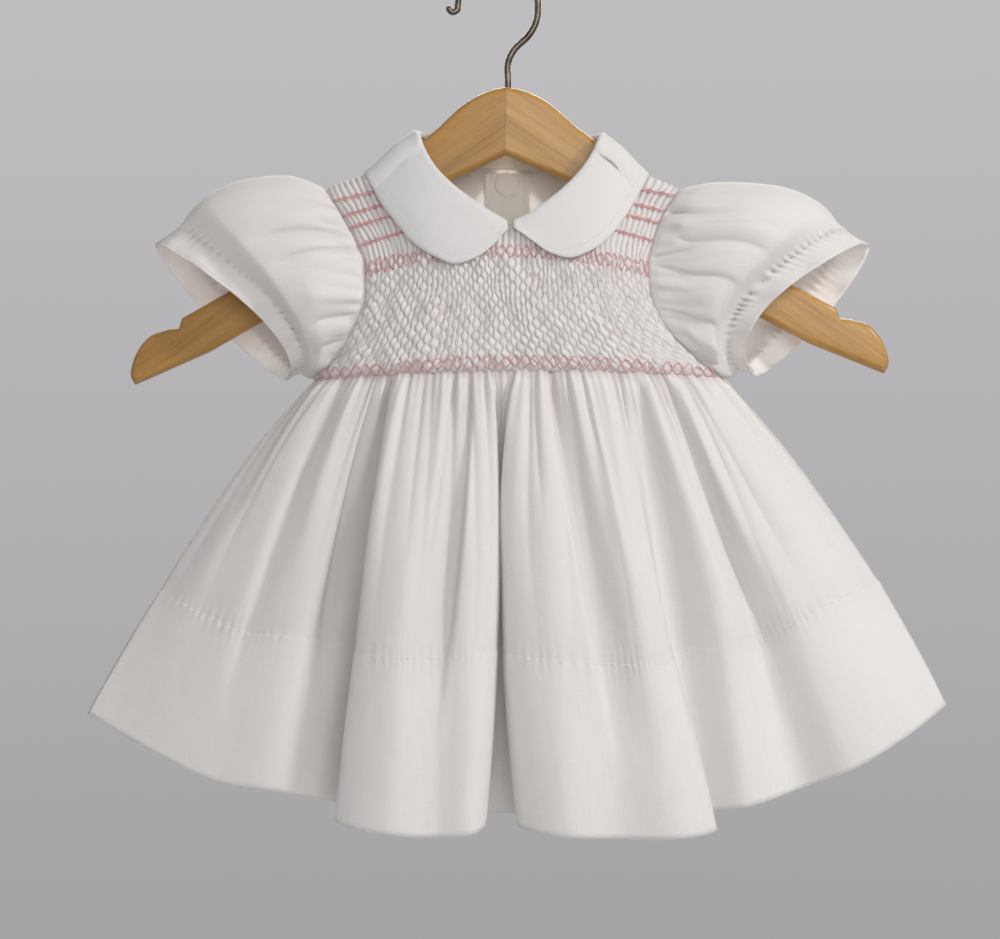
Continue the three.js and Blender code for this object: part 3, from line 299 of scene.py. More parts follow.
def capped_tube(ids: np.ndarray) -> Faces:
    """The faces of closed rings of points, with a cap on the first and the last ring."""
    return grid_faces(ids, closed=True) + [tuple(ids[0].tolist()), tuple(ids[-1][::-1].tolist())]


def ribbon(upper: np.ndarray, lower: np.ndarray) -> Faces:
    """Triangles between two runs of points, which may have different counts.

    Args:
        upper: The point numbers of one run.
        lower: The point numbers of the other.

    Returns:
        Three point numbers for each triangle.
    """
    faces, i, k = [], 0, 0
    n, m = len(upper) - 1, len(lower) - 1
    while i < n or k < m:
        if k == m or (i < n and (i + 1) * m <= (k + 1) * n):
            faces.append((int(upper[i]), int(lower[k]), int(upper[i + 1])))
            i += 1
        else:
            faces.append((int(upper[i]), int(lower[k]), int(lower[k + 1])))
            k += 1
    return faces


def make_object(
    name: str,
    vertices: np.ndarray,
    faces: Faces,
    uv: Optional[np.ndarray] = None,
    painted_shade: Optional[np.ndarray] = None,
) -> bpy.types.Object:
    """Make a smooth-shaded mesh object.

    Args:
        name: The piece's name.
        vertices: Its points, in millimetres.
        faces: The point numbers of each face.
        uv: Two coordinates for each point, in millimetres along the cloth.
        painted_shade: How much painted shade each point gets, mostly deep in the cloth's folds, from 0 to
            1.

    Returns:
        The object, linked into the scene.
    """
    mesh = bpy.data.meshes.new(name)
    mesh.from_pydata((vertices * MM).tolist(), [], faces)
    mesh.polygons.foreach_set("use_smooth", [True] * len(mesh.polygons))
    if uv is not None:
        layer = mesh.uv_layers.new(name="cloth")
        corners = np.empty(len(mesh.loops), np.int64)
        mesh.loops.foreach_get("vertex_index", corners)
        layer.data.foreach_set("uv", uv[corners].astype(np.float32).ravel())
    # Store each point's share of painted shade for the cloth's material.
    if painted_shade is not None:
        depth = mesh.attributes.new("painted_shade", "FLOAT", "POINT")
        depth.data.foreach_set("value", painted_shade.astype(np.float32))
    mesh.update()
    piece = bpy.data.objects.new(name, mesh)
    bpy.context.scene.collection.objects.link(piece)
    return piece


def closed_volume(vertices: np.ndarray, faces: Faces) -> float:
    """Six times the volume inside faces, negative where they point in.

    Args:
        vertices: The points.
        faces: The point numbers of each face, of which the first three are used and the last.

    Returns:
        The signed volume.
    """
    first = np.array([face[:3] for face in faces])
    a, b, c = (vertices[first[:, k]] for k in range(3))
    total = np.einsum("ij,ij->", a, np.cross(b, c))
    square = np.array([face for face in faces if len(face) == 4])
    if len(square):
        a, b, c = (vertices[square[:, k]] for k in (0, 2, 3))
        total += np.einsum("ij,ij->", a, np.cross(b, c))
    return float(total)


def facing_out(vertices: np.ndarray, faces: Faces) -> Faces:
    """The faces of a closed piece, turned round where they point in."""
    return [face[::-1] for face in faces] if closed_volume(vertices, faces) < 0 else faces


def shell(
    name: str,
    outer: np.ndarray,
    inner: np.ndarray,
    cut: tuple[float, float],
    tube: bool = False,
    painted_shade: Optional[np.ndarray] = None,
) -> bpy.types.Object:
    """Make a closed wall of cloth from its outside and inside.

    Args:
        name: The piece's name.
        outer: Rows of points of the outside.
        inner: Rows of points of the inside, which may be fewer.
        cut: The cloth's width and length, for the run of its weave.
        tube: Whether each row closes on itself.
        painted_shade: How much painted shade each point of the outside gets, mostly deep in the folds, from
            0 to 1.

    Returns:
        The object.
    """
    layers, uvs, start = [], [], 0
    for rows in (outer, inner):
        count, across = rows.shape[:2]
        ids = start + np.arange(count * across).reshape(count, across)
        start += count * across
        if tube:
            ids = np.concatenate([ids, ids[:, :1]], axis=1)
        layers.append(ids)
        u, v = np.meshgrid(np.arange(across) / across * cut[0], np.linspace(0, 1, count) * cut[1])
        uvs.append(np.stack([u, v], axis=-1).reshape(-1, 2))
    outside, inside = layers
    faces = grid_faces(outside) + [face[::-1] for face in grid_faces(inside)]
    faces += ribbon(inside[0], outside[0]) + ribbon(outside[-1], inside[-1])
    if not tube:
        faces += ribbon(outside[:, 0], inside[:, 0]) + ribbon(inside[:, -1], outside[:, -1])
    vertices = np.concatenate([outer.reshape(-1, 3), inner.reshape(-1, 3)])
    depth = np.zeros(len(vertices))
    if painted_shade is not None:
        depth[: painted_shade.size] = painted_shade.ravel()
    return make_object(name, vertices, facing_out(vertices, faces), np.concatenate(uvs), depth)


def sewn(name: str, paths: Sequence[np.ndarray], radius: float, sides: int = 5) -> bpy.types.Object:
    """Make one piece of round threads or wires along paths, with rounded ends.

    Args:
        name: The piece's name.
        paths: The points of each thread, of any number.
        radius: The radius of all of them.
        sides: How many sides each has around.

    Returns:
        The object.
    """
    vertices, faces, start = [], [], 0
    turns = np.arange(sides) / sides * math.tau
    for path in paths:
        heading = unit(np.gradient(path, axis=0))
        helper = np.array([0.0, 1.0, 0.0]) if abs(heading[0][1]) < 0.8 else np.array([1.0, 0, 0])
        first = unit(np.cross(heading, helper))
        second = np.cross(heading, first)
        spokes = first[:, None] * np.cos(turns)[:, None] + second[:, None] * np.sin(turns)[:, None]
        rings = path[:, None] + spokes * radius
        ends = [path[0] - heading[0] * radius * 0.6, path[-1] + heading[-1] * radius * 0.6]
        caps = [ends[0] + spokes[0] * radius * 0.5, ends[1] + spokes[-1] * radius * 0.5]
        rings = np.concatenate([caps[:1], rings, caps[1:]])
        ids = start + np.arange(len(rings) * sides).reshape(len(rings), sides)
        faces += capped_tube(ids)
        vertices.append(rings.reshape(-1, 3))
        start += len(rings) * sides
    joined = np.concatenate(vertices)
    return make_object(name, joined, facing_out(joined, faces))


def dashes(line: np.ndarray, length: float, gap: float) -> list[np.ndarray]:
    """Cut a line into equal stitches.

    Args:
        line: The points of the line, close together.
        length: How long each stitch is.
        gap: The space between two stitches.

    Returns:
        The points of each stitch.
    """
    run = np.concatenate([[0], np.cumsum(np.linalg.norm(np.diff(line, axis=0), axis=1))])
    starts = np.arange(gap / 2, run[-1] - length, length + gap)
    shares = np.linspace(0, 1, 4)
    pieces = []
    for start in starts:
        along = start + shares * length
        pieces.append(np.stack([np.interp(along, run, line[:, k]) for k in range(3)], axis=-1))
    return pieces


class Nodes:
    """A small helper that wires up the nodes of one material or world."""

    def __init__(self, name: str, kind: str = "materials", shader: str = "Principled BSDF") -> None:
        """Start a material or a world.

        Args:
            name: Its name.
            kind: The collection that it belongs to.
            shader: The name of the shader that it starts with.
        """
        self.block = getattr(bpy.data, kind).new(name)
        self.block.use_nodes = True
        self.tree = self.block.node_tree
        self.shader = self.tree.nodes[shader]

    def add(self, kind: str, inputs: Optional[dict] = None, **settings: object) -> bpy.types.Node:
        """Add a node.

        Args:
            kind: Its type, without the word ShaderNode.
            inputs: A value or an output socket for each named input.
            settings: Values of its own properties.

        Returns:
            The node.
        """
        node = self.tree.nodes.new("ShaderNode" + kind)
        for key, value in settings.items():
            setattr(node, key, value)
        for key, value in (inputs or {}).items():
            self.feed(node.inputs[key], value)
        return node

    def feed(self, socket: Socket, value: object) -> None:
        """Link an output to a socket, or set its plain value.

        Args:
            socket: The socket.
            value: An output socket or a plain value.
        """
        if isinstance(value, Socket):
            self.tree.links.new(value, socket)
        else:
            socket.default_value = value

    def place(self, scale: tuple[float, float, float], uv: bool = True, turn: float = 0.0) -> Socket:
        """Coordinates for a texture.

        Args:
            scale: How much each coordinate is scaled.
            uv: Whether they run along the cloth, in place of the object's own axes.
            turn: How far they are turned about the Y axis first.

        Returns:
            The output socket.
        """
        source = self.add("TexCoord").outputs["UV" if uv else "Object"]
        if turn:
            source = self.add("Mapping", {"Vector": source, "Rotation": (0, turn, 0)}).outputs[0]
        return self.add("Mapping", {"Vector": source, "Scale": scale}).outputs[0]

    def noise(self, vector: Socket, scale: float, detail: float = 3, roughness: float = 0.5) -> Socket:
        """A noise texture's value, as an output socket."""
        inputs = {"Vector": vector, "Scale": scale, "Detail": detail, "Roughness": roughness}
        return self.add("TexNoise", inputs).outputs[0]

    def ramp(self, value: Socket, stops: Sequence[tuple[float, Colour]]) -> Socket:
        """Turn a value into a colour.

        Args:
            value: The output socket to read.
            stops: A position and a colour for each stop.

        Returns:
            The colour's output socket.
        """
        node = self.add("ValToRGB", {"Fac": value})
        elements = node.color_ramp.elements
        while len(elements) < len(stops):
            elements.new(0.5)
        for element, (position, colour) in zip(elements, stops):
            element.position = position
            element.color = (*colour, 1)
        return node.outputs[0]

    def blend(self, share: object, colour: object, over: object) -> Socket:
        """Multiply a share of one colour over another, as an output socket."""
        inputs = {0: share, 6: colour, 7: over}
        return self.add("Mix", inputs, data_type="RGBA", blend_type="MULTIPLY").outputs[2]

    def math(self, operation: str, first: object, second: object) -> Socket:
        """Combine two values, as an output socket."""
        return self.add("Math", {0: first, 1: second}, operation=operation).outputs[0]

    def total(self, *parts: tuple[Socket, float]) -> Socket:
        """Add up some values, each times its weight, as an output socket."""
        return reduce(partial(self.math, "ADD"), [self.math("MULTIPLY", *part) for part in parts])

    def relief(
        self, height: Socket, distance: float, strength: float = 1.0, below: Optional[Socket] = None
    ) -> Socket:
        """Roughen the surface by a height.

        Args:
            height: The output socket of the height.
            distance: How high it is, in metres.
            strength: How strongly it shows.
            below: An earlier relief that this one lies on.

        Returns:
            The normal's output socket.
        """
        inputs = {"Height": height, "Distance": distance, "Strength": strength}
        if below is not None:
            inputs["Normal"] = below
        return self.add("Bump", inputs).outputs[0]

    def finish(self, values: dict) -> bpy.types.ID:
        """Set the shader's sockets.

        Args:
            values: A value or an output socket for each named socket.

        Returns:
            The material or the world.
        """
        for key, value in values.items():
            self.feed(self.shader.inputs[key], value)
        return self.block


@dataclass(frozen=True)
class ClothFinish:
    """White cotton with a fine plain weave, slubs and a soft sheen."""

    name: str
    light: Colour
    shade: Colour
    sheen: float = 0.25
    weave: float = 0.00009
    crumple: float = 0.0004
    # The rosy grey that the painted shade in the folds darkens the colour towards.
    deep: Colour = (0.62, 0.51, 0.49)
    sheer: float = 0.35

    def material(self) -> bpy.types.Material:
        """The cloth's material: threads both ways, uneven tone, light crumples and painted shade in its
        folds, darkened towards a rosy grey.

        Returns:
            The material.
        """
        nodes = Nodes(self.name)
        warp = nodes.noise(nodes.place((3.2, 0.12, 1)), 1.0, 2)
        weft = nodes.noise(nodes.place((0.12, 3.2, 1)), 1.0, 2)
        threads = nodes.math("ADD", warp, weft)
        slubs = nodes.noise(nodes.place((0.5, 0.03, 1)), 1.0, 3)
        tone = nodes.noise(nodes.place((0.03, 0.02, 1)), 1.0, 4)
        worn = nodes.total((threads, 0.35), (slubs, 0.25), (tone, 0.4))
        plain = nodes.ramp(worn, [(0.25, self.shade), (0.8, self.light)])
        soft = nodes.noise(nodes.place((0.09, 0.05, 1)), 1.0, 3, 0.45)
        crumpled = nodes.relief(soft, self.crumple)
        woven = nodes.relief(threads, self.weave, 1.0, crumpled)
        # Painted shade: the colour is multiplied towards the rosy grey by each point's share, stored with
        # the mesh.
        depth = nodes.add("Attribute", attribute_name="painted_shade").outputs["Fac"]
        colour = nodes.blend(depth, plain, (*self.deep, 1))
        glow = nodes.add("BsdfTranslucent", {"Color": colour, "Normal": woven}).outputs[0]
        lit = nodes.add("MixShader", {0: self.sheer, 1: nodes.shader.outputs[0], 2: glow}).outputs[0]
        nodes.feed(nodes.tree.nodes["Material Output"].inputs["Surface"], lit)
        return nodes.finish({
            "Base Color": colour,
            "Roughness": 0.86,
            "Sheen Weight": self.sheen,
            "Sheen Roughness": 0.4,
            "Specular IOR Level": 0.3,
            "Normal": woven,
        })


@dataclass(frozen=True)
class ThreadFinish:
    """Twisted cotton embroidery or sewing thread."""

    name: str
    light: Colour
    shade: Colour

    def material(self) -> bpy.types.Material:
        """The thread's material: strands that turn round it, and an uneven dye.

        Returns:
            The material.
        """
        nodes = Nodes(self.name)
        where = nodes.place((1, 1, 1), uv=False)
        strands = nodes.add(
            "TexWave", {"Vector": where, "Scale": 900.0, "Distortion": 1.5}, bands_direction="DIAGONAL"
        ).outputs[1]
        dye = nodes.noise(where, 260.0, 3)
        colour = nodes.ramp(dye, [(0.3, self.shade), (0.7, self.light)])
        return nodes.finish({
            "Base Color": colour,
            "Roughness": 0.6,
            "Sheen Weight": 0.3,
            "Normal": nodes.relief(strands, 0.0001),
        })


@dataclass(frozen=True)
class PearlFinish:
    """Cream shell buttons with a faint cloudy depth."""

    light: Colour = (0.86, 0.81, 0.72)
    shade: Colour = (0.72, 0.66, 0.56)

    def material(self) -> bpy.types.Material:
        """The shell's material.

        Returns:
            The material.
        """
        nodes = Nodes("cream_pearl")
        clouds = nodes.noise(nodes.place((1, 1, 1), uv=False), 320.0, 5, 0.6)
        colour = nodes.ramp(clouds, [(0.3, self.shade), (0.65, self.light)])
        return nodes.finish({
            "Base Color": colour,
            "Roughness": nodes.math("MULTIPLY", clouds, 0.4),
            "Coat Weight": 0.4,
            "Coat Roughness": 0.15,
            "Normal": nodes.relief(clouds, 0.00005),
        })


@dataclass(frozen=True)
class MapleFinish:
    """Golden varnished wood, with its grain along the arm."""

    name: str
    turn: float
    light: Colour
    middle: Colour
    dark: Colour

    def material(self) -> bpy.types.Material:
        """The wood's material: long figure, fine pores and a satin varnish.

        Returns:
            The material.
        """
        nodes = Nodes(self.name)
        figure, lines, pores = (
            nodes.noise(nodes.place((along, across, across), uv=False, turn=self.turn), 1.0, detail, rough)
            for along, across, detail, rough in ((9, 160, 4, 0.55), (14, 900, 3, 0.6), (120, 2600, 2, 0.5))
        )
        grain = nodes.total((figure, 0.62), (lines, 0.38))
        colour = nodes.ramp(grain, [(0.34, self.dark), (0.47, self.middle), (0.62, self.light)])
        flecks = nodes.ramp(pores, [(0.3, (0.62, 0.56, 0.5)), (0.42, (1, 1, 1))])
        return nodes.finish({
            "Base Color": nodes.blend(0.35, colour, flecks),
            "Roughness": 0.36,
            "Specular IOR Level": 0.35,
            "Coat Weight": 0.15,
            "Coat Roughness": 0.22,
            "Normal": nodes.relief(nodes.math("ADD", grain, pores), 0.00012, 0.6),
        })


@dataclass(frozen=True)
class PewterFinish:
    """Dark bronzed steel wire, drawn along its length."""

    light: Colour = (0.2, 0.165, 0.13)
    dark: Colour = (0.085, 0.07, 0.058)

    def material(self) -> bpy.types.Material:
        """The wire's material, with rubbed and darker patches.

        Returns:
            The material.
        """
        nodes = Nodes("dark_pewter")
        patches = nodes.noise(nodes.place((1, 1, 1), uv=False), 140.0, 5, 0.6)
        drawn = nodes.noise(nodes.place((900, 900, 90), uv=False), 1.0, 2)
        colour = nodes.ramp(patches, [(0.35, self.dark), (0.65, self.light)])
        return nodes.finish({
            "Base Color": colour,
            "Metallic": 1.0,
            "Roughness": 0.34,
            "Normal": nodes.relief(drawn, 0.00004),
        })


LAWN = ClothFinish("lawn", (0.93, 0.912, 0.898), (0.86, 0.842, 0.828))
# A brighter, creamier copy of the lawn, painted light for the back bodice's inside seen through the neck.
LIT_BACK_LAWN = ClothFinish("lawn_back_lit", (0.95, 0.925, 0.9), (0.89, 0.865, 0.84), sheer=0.6)
DOUBLE_LAWN = ClothFinish("lawn_double", (0.95, 0.925, 0.885), (0.89, 0.86, 0.81), sheer=0.3)
COLLAR_COTTON = ClothFinish(
    "collar_cotton", (0.79, 0.772, 0.76), (0.75, 0.732, 0.72), weave=0.00004, crumple=0.0002, sheer=0.15
)
GRAIN_TURN = math.radians(34)
# Lit and shaded copies of one maple: the left arm is painted darker with shade, the right one lighter with
# painted light.
SHADED_LEFT_MAPLE = MapleFinish(
    "maple_left_shaded", GRAIN_TURN, (0.43, 0.23, 0.062), (0.37, 0.19, 0.046), (0.285, 0.138, 0.028)
)
LIT_RIGHT_MAPLE = MapleFinish(
    "maple_right_lit", -GRAIN_TURN, (0.49, 0.275, 0.078), (0.43, 0.228, 0.056), (0.34, 0.168, 0.035)
)
PINK_THREAD = ThreadFinish("rose_thread", (0.78, 0.42, 0.43), (0.6, 0.27, 0.29))
PALE_THREAD = ThreadFinish("pale_thread", (0.88, 0.74, 0.72), (0.8, 0.6, 0.58))
WHITE_THREAD = ThreadFinish("white_thread", (0.95, 0.94, 0.93), (0.88, 0.87, 0.86))


class Workroom:
    """Hands out each finish once and fixes every piece in the frame."""

    def __init__(self) -> None:
        """Start with no finish made."""
        self.made: dict[str, bpy.types.Material] = {}

    def dress(self, piece: bpy.types.Object, finish: object, slot: Slot) -> bpy.types.Object:
        """Give a piece its finish and let it ride on the hanger's body.

        Args:
            piece: The piece.
            finish: Its finish, any of the finish classes.
            slot: The record's slot that it belongs to; not used.

        Returns:
            The piece.
        """
        key = getattr(finish, "name", type(finish).__name__)
        if key not in self.made:
            self.made[key] = finish.material()
        piece.data.materials.append(self.made[key])
        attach(piece, ROOT)
        LOG.info("%s: %d points", piece.name, len(piece.data.vertices))
        return piece


@dataclass(frozen=True)
class Fall:
    """How the cloth rolls over the shoulders and falls in front or behind."""

    roll: float
    depth: float
    ease: float
    neck_rise: float
    side_shoulder: float

    def path_to_drop(self, path: np.ndarray) -> np.ndarray:
        """How far down a length of cloth from the ridge reaches.

        Args:
            path: The length.

        Returns:
            The drop below the ridge.
        """
        arc = self.roll * math.pi / 2
        rolled = self.roll * (1 - np.cos(np.minimum(path, arc) / self.roll))
        return np.where(path < arc, rolled, self.roll + path - arc)

    def drop_to_path(self, drop: np.ndarray) -> np.ndarray:
        """The length of cloth that reaches a drop.

        Args:
            drop: The drop below the ridge.

        Returns:
            The length from the ridge.
        """
        arc = self.roll * math.pi / 2
        rolled = self.roll * np.arccos(np.clip(1 - drop / self.roll, -1, 1))
        return np.where(drop < self.roll, rolled, arc + drop - self.roll)

    def drop_to_depth(self, drop: np.ndarray) -> np.ndarray:
        """How far the cloth stands off the middle at a drop.

        Args:
            drop: The drop below the ridge.

        Returns:
            The depth.
        """
        rolled = np.sqrt(np.maximum(drop * (2 * self.roll - drop), 0))
        eased = 1 - np.exp((self.roll - drop) / self.ease)
        hanging = self.roll + (self.depth - self.roll) * eased
        return np.where(drop < self.roll, rolled, hanging)


class Armhole(NamedTuple):
    """How far out the armholes' edges lie at a level below the origin."""

    level: float
    left_front: float
    right_front: float
    left_back: float
    right_back: float


HALF_SEAM = 0.15
SHOULDER_LINE = [(-83.6, -102.5), (-64.6, -95.2), (-42, -78.4), (44, -79.4), (63.7, -95.7), (79.4, -102.5)]
FRONT_NECKLINE = [
    (-42, -78.4), (-37.1, -90.5), (-29.2, -101.5), (-17.7, -111.5), (-6, -118.8), (1, -121.5),
    (8, -119.5), (19.9, -112), (29.6, -103), (39.5, -89.5), (44, -79.4),
]
ARMHOLES = [
    Armhole(102.5, -83.6, 79.4, -83.6, 79.4),
    Armhole(114, -76.3, 71.5, -79.4, 75.4),
    Armhole(127, -69.0, 66.4, -75.2, 72.4),
    Armhole(140, -64.2, 63.8, -72.0, 71.0),
    Armhole(152, -63.8, 65.0, -71.0, 71.6),
    Armhole(164, -67.8, 70.2, -73.0, 75.0),
    Armhole(177.5, -75.8, 82.0, -78.6, 83.5),
    Armhole(186, -83.0, 93.0, -83.8, 93.2),
    Armhole(190.6, -88.2, 99.3, -88.2, 99.3),
]


@dataclass
class BodiceForm:
    """The bodice's surfaces, from which the cloth and all that lies on it are made."""

    left_tip: float = -83.6
    right_tip: float = 79.4
    left_neck: float = -42
    right_neck: float = 44
    neck_middle: float = 1
    left_underarm: tuple[float, float] = (-88.2, -190.6)
    right_underarm: tuple[float, float] = (99.3, -189.3)
    waist_lift: float = 2.5
    back_neck_dip: float = 3.5
    front_fall: Fall = Fall(10, 35, 38, 2.5, 0.7)
    back_fall: Fall = Fall(12, 26, 30, 25, 0.55)

    def __post_init__(self) -> None:
        """Draw the curves of the shoulders, the neckline and the armholes."""
        self.shoulder = Curve.smooth(*zip(*SHOULDER_LINE))
        self.neckline = Curve.smooth(*zip(*FRONT_NECKLINE))
        levels, *edges = zip(*ARMHOLES)
        names = ("left_front", "right_front", "left_back", "right_back")
        self.armhole = {name: Curve.smooth(levels, edge) for name, edge in zip(names, edges)}

    def tip(self, side: Side) -> float:
        """The x of a shoulder's tip."""
        return self.left_tip if side is Side.LEFT else self.right_tip

    def underarm(self, side: Side) -> tuple[float, float]:
        """The x and z of an underarm."""
        return self.left_underarm if side is Side.LEFT else self.right_underarm

    def neck_share(self, x: np.ndarray) -> np.ndarray:
        """How deep in the neck x lies, from 0 at its sides to 1 in its middle."""
        half = (self.right_neck - self.left_neck) / 2
        return np.maximum(0, 1 - ((x - self.neck_middle) / half) ** 2)

    def waist(self, a: np.ndarray) -> np.ndarray:
        """The waist's height at a share across the front."""
        low = lerp(self.left_underarm[1], self.right_underarm[1], a)
        return low + self.waist_lift * np.sin(math.pi * a)

    def column(
        self, fall: Fall, x: np.ndarray, start_drop: np.ndarray, end_height: np.ndarray, down: np.ndarray
    ) -> tuple[np.ndarray, np.ndarray]:
        """Follow one column of cloth down.

        Args:
            fall: How it rolls and falls.
            x: Where it starts.
            start_drop: How far below the shoulder's ridge it starts.
            end_height: The height where it ends.
            down: The share of its length.

        Returns:
            The drop below the ridge, and the height.
        """
        inside = (x > self.left_neck) & (x < self.right_neck)
        ridge = self.shoulder(x) + np.where(inside, fall.neck_rise * self.neck_share(x), 0)
        start = fall.drop_to_path(start_drop)
        end = fall.drop_to_path(ridge - end_height)
        drop = fall.path_to_drop(lerp(start, end, np.clip(down, 0, 1)))
        return drop, ridge - drop

    def rounding(self, fall: Fall, off_centre: np.ndarray, down: np.ndarray) -> np.ndarray:
        """The share of its depth that the cloth keeps towards the sides."""
        reach = off_centre * lerp(fall.side_shoulder, 1, down * down)
        return np.sqrt(np.maximum(0, 1 - reach**3))

    def front(self, a: np.ndarray, down: np.ndarray) -> np.ndarray:
        """The front, from the left armhole (0) to the right one (1) and from neck to waist.

        Args:
            a: The share across.
            down: The share down.

        Returns:
            The points.
        """
        a, down = np.broadcast_arrays(np.asarray(a, float), np.asarray(down, float))
        fall = self.front_fall
        x0 = lerp(self.left_tip, self.right_tip, np.clip(a, 0, 1))
        rise = fall.neck_rise * self.neck_share(x0)
        inside = (x0 > self.left_neck) & (x0 < self.right_neck)
        cut = np.where(inside, self.shoulder(x0) + rise - self.neckline(x0), 0)
        drop, z = self.column(fall, x0, np.maximum(cut, 0), self.waist(a), down)
        zero = np.zeros_like(x0)
        left = self.column(fall, zero + self.left_tip, zero, self.left_underarm[1], down)[1]
        right = self.column(fall, zero + self.right_tip, zero, self.right_underarm[1], down)[1]
        x = lerp(self.armhole["left_front"](-left), self.armhole["right_front"](-right), a)
        share = self.rounding(fall, np.abs(2 * a - 1), down)
        return points(x, -HALF_SEAM - fall.drop_to_depth(drop) * share, z)

    def back(self, side: Side, across: np.ndarray, down: np.ndarray) -> np.ndarray:
        """Half of the back, from its armhole (0) to the centre back (1).

        Args:
            side: Which half.
            across: The share across.
            down: The share down.

        Returns:
            The points.
        """
        across, down = np.broadcast_arrays(np.asarray(across, float), np.asarray(down, float))
        fall, sign = self.back_fall, side.value
        edge = self.armhole["left_back" if side is Side.LEFT else "right_back"]
        centre = sign * HALF_SEAM
        x0 = lerp(self.tip(side), centre, np.clip(across, 0, 1))
        inside = (x0 > self.left_neck) & (x0 < self.right_neck)
        share = self.neck_share(x0)
        cut = np.where(inside, (fall.neck_rise + self.back_neck_dip) * share, 0)
        sideways = across / 2 if side is Side.LEFT else 1 - across / 2
        drop, z = self.column(fall, x0, cut, self.waist(sideways), down)
        zero = np.zeros_like(x0)
        level = self.column(fall, zero + self.tip(side), zero, self.underarm(side)[1], down)[1]
        x = lerp(edge(-level), centre, across)
        kept = self.rounding(fall, 1 - across, down)
        return points(x, HALF_SEAM + fall.drop_to_depth(drop) * kept, z)

    def back_at(self, x: np.ndarray, down: np.ndarray) -> np.ndarray:
        """The back found by its x instead, across both halves.

        Args:
            x: How far right each point lies.
            down: The share down.

        Returns:
            The points.
        """
        x, down = np.broadcast_arrays(np.asarray(x, float), np.asarray(down, float))
        halves = []
        for side in Side:
            edge = self.back(side, np.zeros_like(x), down)[..., 0]
            halves.append(self.back(side, (x - edge) / (side.value * HALF_SEAM - edge), down))
        return np.where((x < 0)[..., None], halves[0], halves[1])

    @staticmethod
    def place(surface: Surface, x: np.ndarray, z: np.ndarray) -> tuple[np.ndarray, np.ndarray]:
        """Find where on a panel a point seen at x and z lies.

        Args:
            surface: The panel.
            x: The point's x.
            z: The point's height.

        Returns:
            The share across and the share down.
        """
        a, down = np.full_like(x, 0.5), np.full_like(x, 0.3)
        for _ in range(10):
            first = surface(np.zeros_like(x), down)[..., 0]
            last = surface(np.ones_like(x), down)[..., 0]
            a = (x - first) / (last - first)
            down = down_to(surface, a, z)
        return a, down


